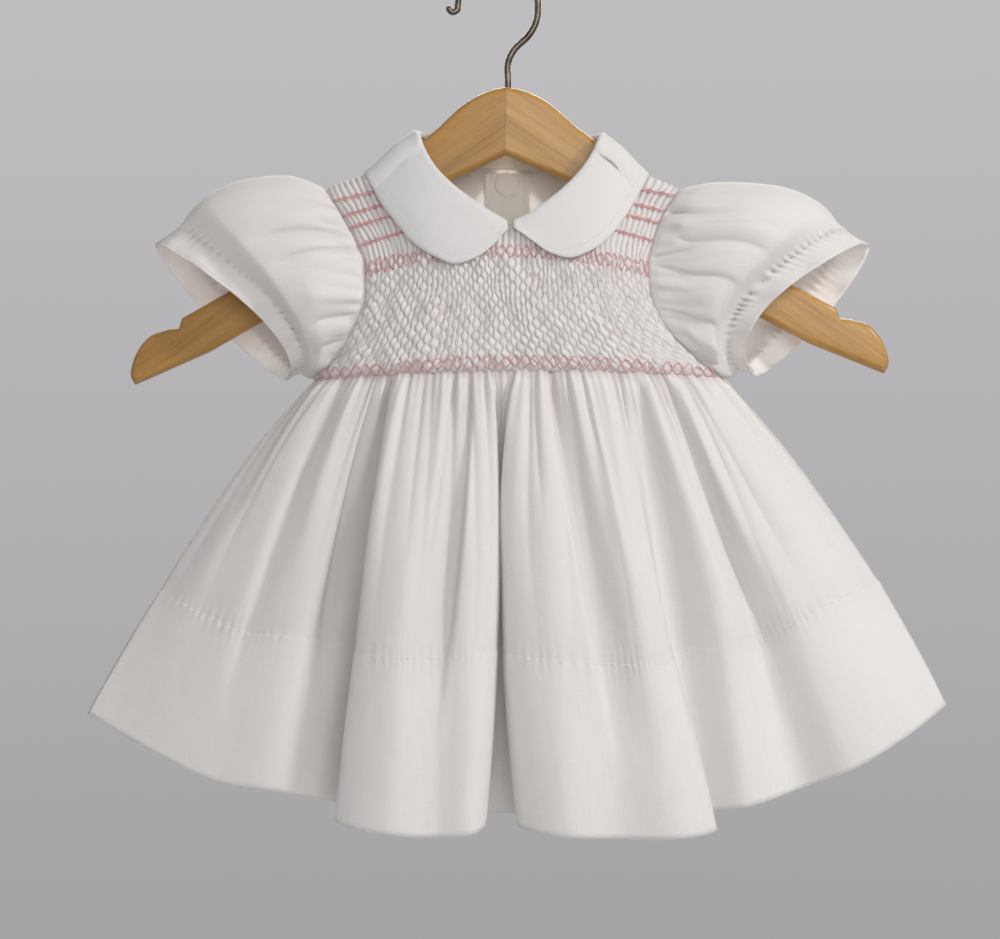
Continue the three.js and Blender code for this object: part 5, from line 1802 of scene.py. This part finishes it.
    def build(self) -> bpy.types.Object:
        """Make the cloth.

        Returns:
            The piece.
        """
        turn = np.arange(self.around) / self.around
        outs = np.linspace(0, 1, self.rows + 1) ** 0.95
        turn, out = np.meshgrid(turn, outs)
        relief = self.relief(turn, out)
        thick = lerp(self.thickness, self.edge_thickness, ease((out - self.edge_starts) * 60))
        outer, inner = walls(self.surface, turn, out, relief, thick, -self.side.value)
        # Painted shade for the cloth's colour: a slight one all over, more in the troughs of creases and
        # where the shirring sinks.
        sunk = 0.5 * np.clip(-relief / 1.2, 0, 1) * bump(out - self.frill_starts, 0.03)
        painted_shade = 0.03 + 0.15 * np.clip(-relief / 3, 0, 1) + sunk
        name = f"sleeve_{self.side.name.lower()}_cloth"
        return shell(name, outer, inner, (290.0, 90.0), tube=True, painted_shade=painted_shade)

    def stitches(self) -> bpy.types.Object:
        """Make the two rows of shirring stitches and the frill's edge stitches.

        Returns:
            The piece.
        """
        paths = []
        turn = np.linspace(0, 1, 900)
        above = self.frill_starts - 0.4 * self.shirring_apart
        rows = ((above, 1.5, 1.0), (above + self.shirring_apart, 1.5, 1.0), (self.edge_starts, 1.8, 0.9))
        for out, length, gap in rows:
            along = np.full_like(turn, out)
            over = self.relief(turn, along) + 0.1
            paths += dashes(lifted(self.surface, turn, along, over, -self.side.value), length, gap)
        return sewn(f"sleeve_{self.side.name.lower()}_stitches", paths, SEWING_THREAD, 4)

    def dress(self) -> None:
        """Make the sleeve and its stitches."""
        word = self.side.name.lower()
        cloth = self.room.dress(self.build(), LAWN, Slot.LAWN)
        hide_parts(f"sleeve_{word}")
        thread = self.room.dress(self.stitches(), WHITE_THREAD, Slot.LAWN)


class Station(NamedTuple):
    """A place round the collar: where it leaves the neckline, its outer edge and its stand."""

    station: float
    neck_x: float
    edge_x: float
    edge_z: float
    stand: float


LEFT_COLLAR = [
    Station(0, 0.0, 0.2, -123.4, 0.4), Station(1, -5, -6.4, -131.3, 0.6),
    Station(2, -11, -14.1, -137, 0.9), Station(3, -18, -23.5, -139.8, 1.0),
    Station(4, -24, -32.1, -136.4, 1.1), Station(5, -29.5, -41.2, -129.9, 1.3),
    Station(6, -34, -48.6, -121.1, 1.5), Station(7, -38, -56.2, -111.6, 1.7),
    Station(8, -40.8, -61.8, -101.8, 1.4),
]
RIGHT_COLLAR = [
    Station(0, 2.6, 3.0, -122.9, 0.4), Station(1, 8, 11.2, -129.3, 0.6),
    Station(2, 14, 18.9, -134.7, 0.9), Station(3, 20.5, 27.5, -137, 1.0),
    Station(4, 26.5, 36.1, -134.2, 1.0), Station(5, 32, 43.8, -128.1, 1.0),
    Station(6, 36.5, 50.7, -119.7, 1.1), Station(7, 40, 57.0, -110.5, 1.2),
    Station(8, 42.8, 61.8, -102.2, 1.2),
]
COLLAR_BACK = [
    Station(10, 40.5, 61.4, -103.5, 1.5), Station(11, 35.5, 53, -112.5, 1.8),
    Station(12, 28, 40, -116, 2.1), Station(13, 19, 26, -112, 2.2),
    Station(14, 10, 13.5, -103, 2.1), Station(15, 2.4, 4.6, -91, 1.6),
]


@dataclass
class Collar:
    """Half of the rounded collar: it stands at the neck, rolls over and lies on the bodice."""

    form: BodiceForm
    room: Workroom
    side: Side
    front_rows: list[Station]
    shoulder_x: float
    shoulder_station: float = 9
    shoulder_stand: float = 1.2
    shoulder_lift: float = 1.3
    thickness: float = 1.3
    lift: float = 2.6
    edge_lift: float = 1.2
    stations: int = 120
    shares: int = 40
    stitched: float = 0.93
    stitch_radius: float = 0.12

    def __post_init__(self) -> None:
        """Draw the curves of the front and the back half."""
        sign = self.side.value
        neck = self.form.left_neck if self.side is Side.LEFT else self.form.right_neck
        shoulder = Station(
            self.shoulder_station,
            neck,
            self.shoulder_x,
            float(self.form.shoulder(self.shoulder_x)),
            self.shoulder_stand,
        )
        wider = 1 + 1 / 22 if self.side is Side.RIGHT else 1
        back = [
            row._replace(neck_x=sign * row.neck_x * wider, edge_x=sign * row.edge_x)
            for row in COLLAR_BACK
        ]
        self.curves = [self.through([*self.front_rows, shoulder]), self.through([shoulder, *back])]
        self.last = back[-1].station

    @staticmethod
    def through(rows: list[Station]) -> dict[str, Curve]:
        """A curve for each column of some stations."""
        at, *columns = zip(*rows)
        return {name: Curve.smooth(at, column) for name, column in zip(Station._fields[1:], columns)}

    def control(self, station: np.ndarray, behind: bool) -> np.ndarray:
        """The seven points that the collar's section goes through, from its foot to its edge.

        Args:
            station: The stations, all in front or all behind.
            behind: Whether they are behind.

        Returns:
            Seven points for each station.
        """
        form, sign = self.form, self.side.value
        curves = self.curves[int(behind)]
        if behind:
            facing, tip, centre = sign, form.tip(self.side), sign * HALF_SEAM
            surface = partial(form.back, self.side)
        else:
            facing, tip, centre = 1, form.left_tip, form.right_tip
            surface = form.front
        top = np.zeros_like(station)
        held = [
            (curves["neck_x"](np.clip(station + step, 0, self.last)) - tip) / (centre - tip)
            for step in (-0.05, 0, 0.05)
        ]
        rim = surface(held[1], top)
        normal = outward(surface, held[1], top + 0.02, facing)
        runs = unit(surface(held[2], top) - surface(held[0], top))
        inward = unit(np.cross(runs, normal)) * -sign
        height = curves["stand"](station)[..., None]
        rise = 1.6 * np.clip(height / self.shoulder_stand, 0, 1) ** 2 - 0.6
        foot = rim + inward * (0.6 + self.thickness / 2) + normal * rise
        up = np.array([0.0, 0.0, 1.0])
        level = unit((normal - inward * 0.6) * [1, 1, 0])
        edge_x, edge_z = curves["edge_x"](station), curves["edge_z"](station)
        rim_x, rim_z = rim[..., 0], rim[..., 2]
        width = np.hypot(edge_x - rim_x, edge_z - rim_z)
        fall = np.clip(3.4 / width, 0.12, 0.45)
        tall = height[..., 0]
        resting = lerp(self.lift, self.shoulder_lift, bump(station - self.shoulder_station, 1.6))

        def on_panel(share: np.ndarray, lift: np.ndarray) -> np.ndarray:
            """Points on the bodice under a share of the collar's width, lifted off it.

            Args:
                share: The share of the collar's width.
                lift: How far they are lifted.

            Returns:
                The points.
            """
            x = lerp(rim_x, edge_x, share)
            drop = lerp(form.shoulder(rim_x) - rim_z, form.shoulder(edge_x) - edge_z, share)
            a, down = form.place(surface, x, form.shoulder(x) - drop)
            return lifted(surface, a, np.maximum(down, 0.004), resting + lift, facing)

        return np.stack(
            [
                foot,
                foot + up * height * 0.7,
                foot + up * (height + 0.6) + level * 1.7,
                on_panel(fall, 0.25 + tall * 0.35),
                on_panel(lerp(fall, 1, 0.3), 0.1 + tall * 0.06),
                on_panel(lerp(fall, 1, 0.65), 0.1 + 0 * tall),
                on_panel(1.0 + 0 * fall, 0 * tall),
            ],
            axis=1,
        )

    def middle(self) -> np.ndarray:
        """The collar's middle surface.

        Returns:
            Rows of points from the neck seam to the outer edge.
        """
        top = self.shoulder_station
        count = self.stations // 2
        ahead = np.linspace(0, top, count + 1)
        behind = np.linspace(top, self.last, count + 1)[1:]
        control = np.concatenate([self.control(ahead, False), self.control(behind, True)])
        grid = rounded(control, np.linspace(0, 1, self.shares + 1))
        smooth = grid.copy()
        for _ in range(8):
            smooth[:, 1:-1] = (smooth[:, :-2] + 2 * smooth[:, 1:-1] + smooth[:, 2:]) / 4
        return lerp(grid, smooth, bump(np.arange(grid.shape[1]) - count, 8)[None, :, None])

    def dress(self) -> None:
        """Make the collar half and its edge stitching."""
        grid = self.middle()
        run = np.gradient(grid, axis=1)
        fall = np.gradient(grid, axis=0)
        normal = unit(np.cross(fall, run)) * self.side.value
        rows, count = grid.shape[:2]
        down = np.linspace(0, 1, rows)[:, None]
        grid = grid + normal * (self.edge_lift * ease((down - 0.45) * 2))[..., None]
        across = np.linspace(0, 1, count)[None, :]
        edge = np.minimum(np.minimum((1 - down) * 24, across * 60), (1 - across) * 60)
        half = self.thickness / 2 * np.sqrt(np.clip(edge + 0.12, 0, 1))
        seam = 0.16 * bump(down - self.stitched, 0.018)
        soft = 0.18 * Unevenness(61 + self.side.value)(across * 14, down * 5) * ease((1 - down) * 4)
        outer = grid + normal * (half - seam + soft)[..., None]
        inner = grid - normal * half[..., None]
        word = self.side.name.lower()
        cloth = shell(f"collar_{word}_cloth", outer, inner, (190.0, 28.0))
        self.room.dress(cloth, COLLAR_COTTON, Slot.COLLAR)
        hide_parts(f"collar_{word}")
        line = (outer + normal * 0.1)[int(self.stitched * (rows - 1)), 2:-2]
        thread = sewn(f"collar_{word}_stitches", dashes(line, 1.5, 0.9), self.stitch_radius, 4)
        self.room.dress(thread, WHITE_THREAD, Slot.COLLAR)


@dataclass
class BackOpening:
    """The centre back: two plackets, the neck binding, and the buttons."""

    form: BodiceForm
    room: Workroom
    half_width: float = 10.5
    top: float = 0.1
    bottom: float = 0.985
    binding_half: float = 30
    bodice_thickness: float = 1.2
    cloth: float = 0.6
    gap: float = 0.3
    sewn_at: float = 8.6
    stitch_radius: float = 0.13
    radius: float = 5.8
    facets: int = 48
    thick: float = 2.4
    levels: tuple[tuple[str, float], ...] = (("top", -97.5), ("middle", -134), ("bottom", -168))

    def facing_at(self, down: np.ndarray) -> np.ndarray:
        """The direction straight out of the centre back at a share down."""
        away = outward(partial(self.form.back, Side.RIGHT), np.full_like(down, 0.9), down)
        return unit(away * [0, 1, 1])

    def shown_through(self, x: np.ndarray, z: np.ndarray) -> np.ndarray:
        """How far the seam edges and the button behind press the underlap up.

        Args:
            x: How far right each point lies.
            z: Its height.

        Returns:
            The height that they add.
        """
        away = np.hypot(x, z - self.levels[0][1])
        button = 0.8 * ease((self.radius - away) / 0.8) - 0.4 * bump(away - self.radius - 0.5, 0.6)
        edges = 0.5 * bump(np.abs(x) - 9.5, 0.55) - 0.35 * bump(np.abs(x) - 7.9, 0.5)
        return button + edges

    def strip(self, name: str, near: float, far: float, node: str) -> None:
        """Make a placket, sewn down along both sides.

        Args:
            name: The piece's name.
            near: Its inner face's height over the bodice's outside.
            far: Its outer face's height.
            node: The node that it replaces.
        """
        x, down = np.meshgrid(
            np.linspace(-self.half_width, self.half_width, 81), np.linspace(self.top, self.bottom, 190)
        )
        away = self.facing_at(down)
        at = self.form.back_at(x, down)
        ripple = 0.12 * Unevenness(71)(x * 0.4, down * 40)
        sewn_in = 0.2 * (bump(x - self.sewn_at, 0.5) + bump(x + self.sewn_at, 0.5))
        sign = 1 if far > near else -1
        if sign < 0:
            ripple = ripple + self.shown_through(x, at[..., 2])
        outer = at + away * (far + sign * (ripple - sewn_in))[..., None]
        inner = at + away * near
        cloth = shell(name, outer, inner, (21.0, 95.0))
        self.room.dress(cloth, DOUBLE_LAWN, Slot.LAWN)
        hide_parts(node)
        paths = []
        for column in (7, 73):
            paths += dashes((outer + away * sign * 0.12)[1:-1, column], 1.8, 0.9)
        stitched = sewn(name + "_stitches", paths, self.stitch_radius, 4)
        thread = self.room.dress(stitched, WHITE_THREAD, Slot.LAWN)

    def binding(self) -> None:
        """Make the tape inside the back neck."""
        x, down = np.meshgrid(
            np.linspace(-self.binding_half, self.binding_half, 91), np.linspace(0.005, 0.085, 13)
        )
        away = unit(self.form.back_at(x, down + 0.01) * [1, 1, 0] + [0, 9, 0])
        at = self.form.back_at(x, down)
        fold = 0.25 * ease((down - 0.07) / 0.012)
        outer = at - away * (1.5 + 0 * x)[..., None]
        inner = at - away * (2.3 + fold)[..., None]
        piece = shell("neck_binding_cloth", outer, inner, (60.0, 9.0))
        self.room.dress(piece, DOUBLE_LAWN, Slot.LAWN)
        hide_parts("neck_binding")

    def button(self, word: str, level: float) -> None:
        """Make a button with a rim, a dished middle and four holes of thread.

        Args:
            word: Which button it is.
            level: Its height.
        """
        beside = np.array([0.3])
        down = down_to(self.form.back_at, beside, level)
        away = self.facing_at(down)[0]
        seat = self.form.back_at(beside, down)[0] + away * 1.95
        seat[0] = 0
        side = np.array([1.0, 0, 0])
        up = np.cross(away, side)
        radius, thick = self.radius, self.thick
        profile = np.array([
            (0.01, 0), (radius - 0.9, 0), (radius - 0.25, 0.25), (radius, 0.8), (radius, thick - 0.8),
            (radius - 0.25, thick - 0.22), (radius - 0.75, thick), (radius - 1.25, thick - 0.12),
            (radius - 1.8, thick - 0.55), (radius - 2.6, thick - 0.72), (0.01, thick - 0.6),
        ])
        turns = np.arange(self.facets) / self.facets * math.tau
        rings = [
            seat + away * h + (side * np.cos(turns)[:, None] + up * np.sin(turns)[:, None]) * r
            for r, h in profile
        ]
        faces = capped_tube(np.arange(len(rings) * self.facets).reshape(-1, self.facets))
        vertices = np.concatenate(rings)
        piece = make_object(f"button_{word}_pearl", vertices, facing_out(vertices, faces))
        self.room.dress(piece, PearlFinish(), Slot.PEARL)
        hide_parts(f"button_{word}")
        share = np.linspace(-1, 1, 5)[:, None]
        arch = away * (thick - 0.5) + away * 0.25 * (1 - share**2)
        paths = [seat + arch + side * share * 1.0 + up * shift for shift in (-0.7, -0.5, 0.5, 0.7)]
        thread = sewn(f"button_{word}_thread", paths, SEWING_THREAD, 5)
        self.room.dress(thread, WHITE_THREAD, Slot.LAWN)

    def dress(self) -> None:
        """Make everything at the centre back."""
        self.strip("placket_overlap_cloth", self.gap, self.gap + self.cloth, "placket_overlap")
        inside = -self.bodice_thickness - self.gap
        self.strip("placket_underlap_cloth", inside, inside - self.cloth, "placket_underlap")
        self.binding()
        for word, level in self.levels:
            self.button(word, level)


@dataclass
class Hanger:
    """A contoured wooden hanger in two mitred arms, with a wire hook."""

    room: Workroom
    thick: float = 9.4
    rounding: float = 2.6
    edge_points: int = 13
    sweep_back: float = 0.03
    forward: float = 0.1
    tilt: float = math.radians(0.87)
    middle_x: float = -0.5
    wire: float = 1.5
    hook_right: float = 14.3
    hook_left: float = 22.6
    hook_height: float = 18.5
    left_share: float = 0.992
    right_share: float = 1.012
    step: float = 6
    top: tuple[Place, ...] = ((0, -55.4), (7.4, -56.8), (18.9, -62.5), (31.9, -73.9))
    end: tuple[Place, ...] = ((130.7, -148.2), (151, -159.3), (152.4, -163.9), (157.4, -164.4))
    tip: tuple[Place, ...] = (
        (157.4, -164.4), (166.2, -167.6), (172.2, -175), (175, -185.1), (173.1, -189.5)
    )
    under: tuple[Place, ...] = ((138.5, -175), (113.6, -161.4), (28.6, -99.3), (0, -86.3))

    @staticmethod
    def spline(rows: Sequence[Place], count: int) -> list[Place]:
        """A rounded run through some places, without its last one.

        Args:
            rows: The places.
            count: How many points each stretch gets.

        Returns:
            The points.
        """
        control = np.array([(x, 0.0, z) for x, z in rows])[None]
        shares = np.linspace(0, 1, count * (len(rows) - 1) + 1)[:-1]
        return [(p[0], p[2]) for p in rounded(control, shares)[:, 0]]

    def even(self, rows: Sequence[Place]) -> list[Place]:
        """Even points along the straight stretches between some places.

        Args:
            rows: The places.

        Returns:
            The points, with both ends.
        """
        line = [rows[0]]
        for a, b in zip(rows, rows[1:]):
            count = max(2, int(math.dist(a, b) / self.step))
            line += [tuple(lerp(np.array(a), np.array(b), s)) for s in np.linspace(0, 1, count + 1)[1:]]
        return line

    def outline(self) -> np.ndarray:
        """One arm's outline, from the mitre out along the top and back underneath.

        Returns:
            Points of distance out and height.
        """
        line = self.spline(self.top, 8) + self.even((self.top[-1], *self.end))
        line += self.spline(self.tip, 8)[1:] + self.even((self.tip[-1], *self.under))
        return np.array(line)

    @staticmethod
    def turned(heading: np.ndarray) -> np.ndarray:
        """Unit vectors a quarter turn from some headings, into the arm."""
        return unit(np.stack([heading[:, 1], -heading[:, 0]], axis=-1))

    def arm(self, side: Side) -> bpy.types.Object:
        """Make an arm with softly rounded edges.

        Args:
            side: Which arm.

        Returns:
            The piece.
        """
        line = self.outline()
        before, after = np.roll(line, 1, axis=0), np.roll(line, -1, axis=0)
        before[0], after[-1] = line[0] - [1, 0], line[-1] - [1, 0]
        inward = self.turned(unit(line - before) + unit(after - line))
        stretch = 1 / np.maximum(0.5, np.sum(inward * self.turned(line - before), axis=-1))
        half, reach = self.thick / 2, self.rounding
        longer = self.right_share if side is Side.RIGHT else self.left_share
        rings = []
        for turn in np.radians(np.linspace(-90, 90, self.edge_points)):
            inset = reach * (1 - math.cos(turn))
            y = math.copysign(half - reach, turn) + reach * math.sin(turn)
            place = line + inward * (inset * stretch)[:, None]
            place[:, 0] = np.where(line[:, 0] <= 0, 0, place[:, 0])
            x = self.middle_x + side.value * np.maximum(place[:, 0] * longer, 0.04)
            sweep_y = place[:, 0] * self.sweep_back - self.forward
            z = place[:, 1] + side.value * place[:, 0] * math.sin(self.tilt)
            rings.append(points(x, y + sweep_y, z))
        ids = np.arange(len(rings) * len(line)).reshape(-1, len(line))
        faces = grid_faces(ids, closed=True)
        vertices = np.concatenate(rings)
        flat = tessellate_polygon([[Vector((p[0], p[2], 0)) for p in rings[0]]])
        faces += [tuple(int(k) for k in f) for f in flat]
        last = int(ids[-1][0])
        faces += [tuple(last + int(k) for k in reversed(f)) for f in flat]
        piece = make_object(f"hanger_arm_{side.name.lower()}_wood", vertices, faces)
        self.tidy(piece)
        return piece

    @staticmethod
    def tidy(piece: bpy.types.Object) -> None:
        """Turn all of a closed piece's faces out, and keep its flat faces flat.

        Args:
            piece: The piece.
        """
        mesh = bmesh.new()
        mesh.from_mesh(piece.data)
        bmesh.ops.remove_doubles(mesh, verts=mesh.verts, dist=1e-6)
        bmesh.ops.recalc_face_normals(mesh, faces=mesh.faces)
        mesh.to_mesh(piece.data)
        mesh.free()
        piece.data.set_sharp_from_angle(angle=math.radians(38))

    def hook(self) -> bpy.types.Object:
        """Make the wire hook.

        Returns:
            The piece.
        """
        rise = self.wire - self.hook_height
        lower = [(0.5, -72), (0.5, -62), (0.5, -52), (0.5, -44), (3.2, -38), (10.2, -31), (13.6, -24.5)]
        loop = []
        for angle in np.linspace(0, math.pi, 11):
            reach = self.hook_right if math.cos(angle) > 0 else self.hook_left
            loop.append((reach * math.cos(angle), rise + self.hook_height * math.sin(angle)))
        scroll = [(-22.9, -19.2), (-25.2, -20.4), (-27.0, -18.6)]
        control = np.array([(x, 0.0, z) for x, z in lower + loop + scroll])[None]
        path = rounded(control, np.linspace(0, 1, 181))[:, 0]
        return sewn("hanger_hook_wire", [path], self.wire, 20)

    def dress(self) -> None:
        """Make the arms and the hook."""
        # The left arm gets the shaded copy of the maple, the right one the lit copy.
        for side, finish in ((Side.LEFT, SHADED_LEFT_MAPLE), (Side.RIGHT, LIT_RIGHT_MAPLE)):
            piece = self.room.dress(self.arm(side), finish, Slot.MAPLE)
            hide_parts(f"hanger_arm_{side.name.lower()}")
        wire = self.room.dress(self.hook(), PewterFinish(), Slot.PEWTER)
        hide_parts("hanger_hook")


class Lamp(NamedTuple):
    """A soft square light: its place and width in metres, its power in watts and its colour."""

    name: str
    at: tuple[float, float, float]
    size: float
    power: float
    colour: Colour


LAMPS = [
    Lamp("key", (1.3, -0.8, 0.75), 0.28, 16, (1, 0.985, 0.965)),
    Lamp("front", (0.3, -1.6, 0.15), 0.8, 10, (1, 0.995, 0.985)),
    Lamp("fill", (-1.3, -1.0, 0.2), 1.2, 2, (0.95, 0.97, 1)),
    Lamp("rim", (0.1, 1.4, 0.5), 1.0, 27, (1, 0.93, 0.84)),
]


@dataclass
class Studio:
    """A pale floor, soft lights and the camera."""

    eye: tuple[float, float, float] = (-3.23, -1200, -231.5)
    lens: float = 93.6
    sensor: float = 36
    floor_height: float = -1300
    floor_half: float = 3000
    aim: tuple[float, float, float] = (0, 0, -0.22)
    horizon: float = 0.16

    def camera(self) -> None:
        """Put the camera level with the dress, straight in front of it."""
        data = bpy.data.cameras.new("camera")
        data.lens, data.sensor_width = self.lens, self.sensor
        camera = bpy.data.objects.new("camera", data)
        camera.location = Vector(self.eye) * MM
        camera.rotation_euler = (math.pi / 2, 0, 0)
        bpy.context.scene.collection.objects.link(camera)
        bpy.context.scene.camera = camera

    def light(self, lamp: Lamp) -> None:
        """Add a light that faces the dress.

        Args:
            lamp: The light's name, place and strength.
        """
        data = bpy.data.lights.new(lamp.name, "AREA")
        data.size, data.energy, data.color = lamp.size, lamp.power, lamp.colour
        light = bpy.data.objects.new(lamp.name, data)
        light.location = lamp.at
        towards = Vector(self.aim) - Vector(lamp.at)
        light.rotation_euler = towards.to_track_quat("-Z", "Y").to_euler()
        bpy.context.scene.collection.objects.link(light)

    def floor(self) -> None:
        """Add the pale floor."""
        corners = np.array([(-1, -1, 0), (1, -1, 0), (1, 1, 0), (-1, 1, 0)]) * float(self.floor_half)
        floor = make_object("floor", corners + [0, 0, self.floor_height], [(0, 1, 2, 3)])
        nodes = Nodes("pale_floor")
        grain = nodes.noise(nodes.place((1, 1, 1), uv=False), 30.0, 4)
        colour = nodes.ramp(grain, [(0.3, (0.6, 0.6, 0.6)), (0.7, (0.66, 0.66, 0.66))])
        floor.data.materials.append(nodes.finish({"Base Color": colour, "Roughness": 0.9}))

    def surroundings(self) -> None:
        """Add the even grey light all round, and the backdrop that fades from dark to pale."""
        nodes = Nodes("surroundings", "worlds", "Background")
        bpy.context.scene.world = nodes.block
        height = nodes.add("SeparateXYZ", {0: nodes.add("TexCoord").outputs["Generated"]}).outputs["Z"]
        limits = {"Value": height, "From Min": -self.horizon, "From Max": self.horizon}
        rise = nodes.add("MapRange", limits).outputs["Result"]
        nodes.finish({"Color": nodes.ramp(rise, [(0, (0.38, 0.37, 0.38)), (1, (0.52, 0.51, 0.52))])})
        glow = nodes.add("Background", {"Color": (0.33, 0.33, 0.34, 1)}).outputs[0]
        seen = nodes.add("LightPath").outputs["Is Camera Ray"]
        both = nodes.add("MixShader", {0: seen, 1: glow, 2: nodes.shader.outputs[0]}).outputs[0]
        nodes.feed(nodes.tree.nodes["World Output"].inputs[0], both)

    def dress(self) -> None:
        """Set up the camera, the lights and the room."""
        self.camera()
        for lamp in LAMPS:
            self.light(lamp)
        self.floor()
        self.surroundings()


def main() -> None:
    """Build the dress, its hanger and the studio, piece by piece."""
    logging.basicConfig(level=logging.INFO, format="%(message)s")
    bpy.context.scene.view_settings.view_transform = "Standard"
    Studio().dress()
    room, form = Workroom(), BodiceForm()
    Smocking(form, room).dress()
    Skirt(form, room, "front_skirt", FRONT_FOLDS, FRONT_CREASES, 1, (0.5, 0.205)).dress("front")
    back = Skirt(
        form, room, "back_skirt_cloth", BACK_FOLDS, BACK_CREASES, -1, (0.46, 0.195), columns=300, seed=9
    )
    back.dress("back_skirt")
    for side in Side:
        BackBodice(form, room, side).dress()
    Sleeve(form, room, Side.LEFT, LEFT_SLEEVE, LEFT_SLEEVE_CREASES).dress()
    Sleeve(form, room, Side.RIGHT, RIGHT_SLEEVE, RIGHT_SLEEVE_CREASES).dress()
    Collar(form, room, Side.LEFT, LEFT_COLLAR, -65.2).dress()
    Collar(form, room, Side.RIGHT, RIGHT_COLLAR, 64.6).dress()
    BackOpening(form, room).dress()
    Hanger(room).dress()


if __name__ == "__main__":
    main()
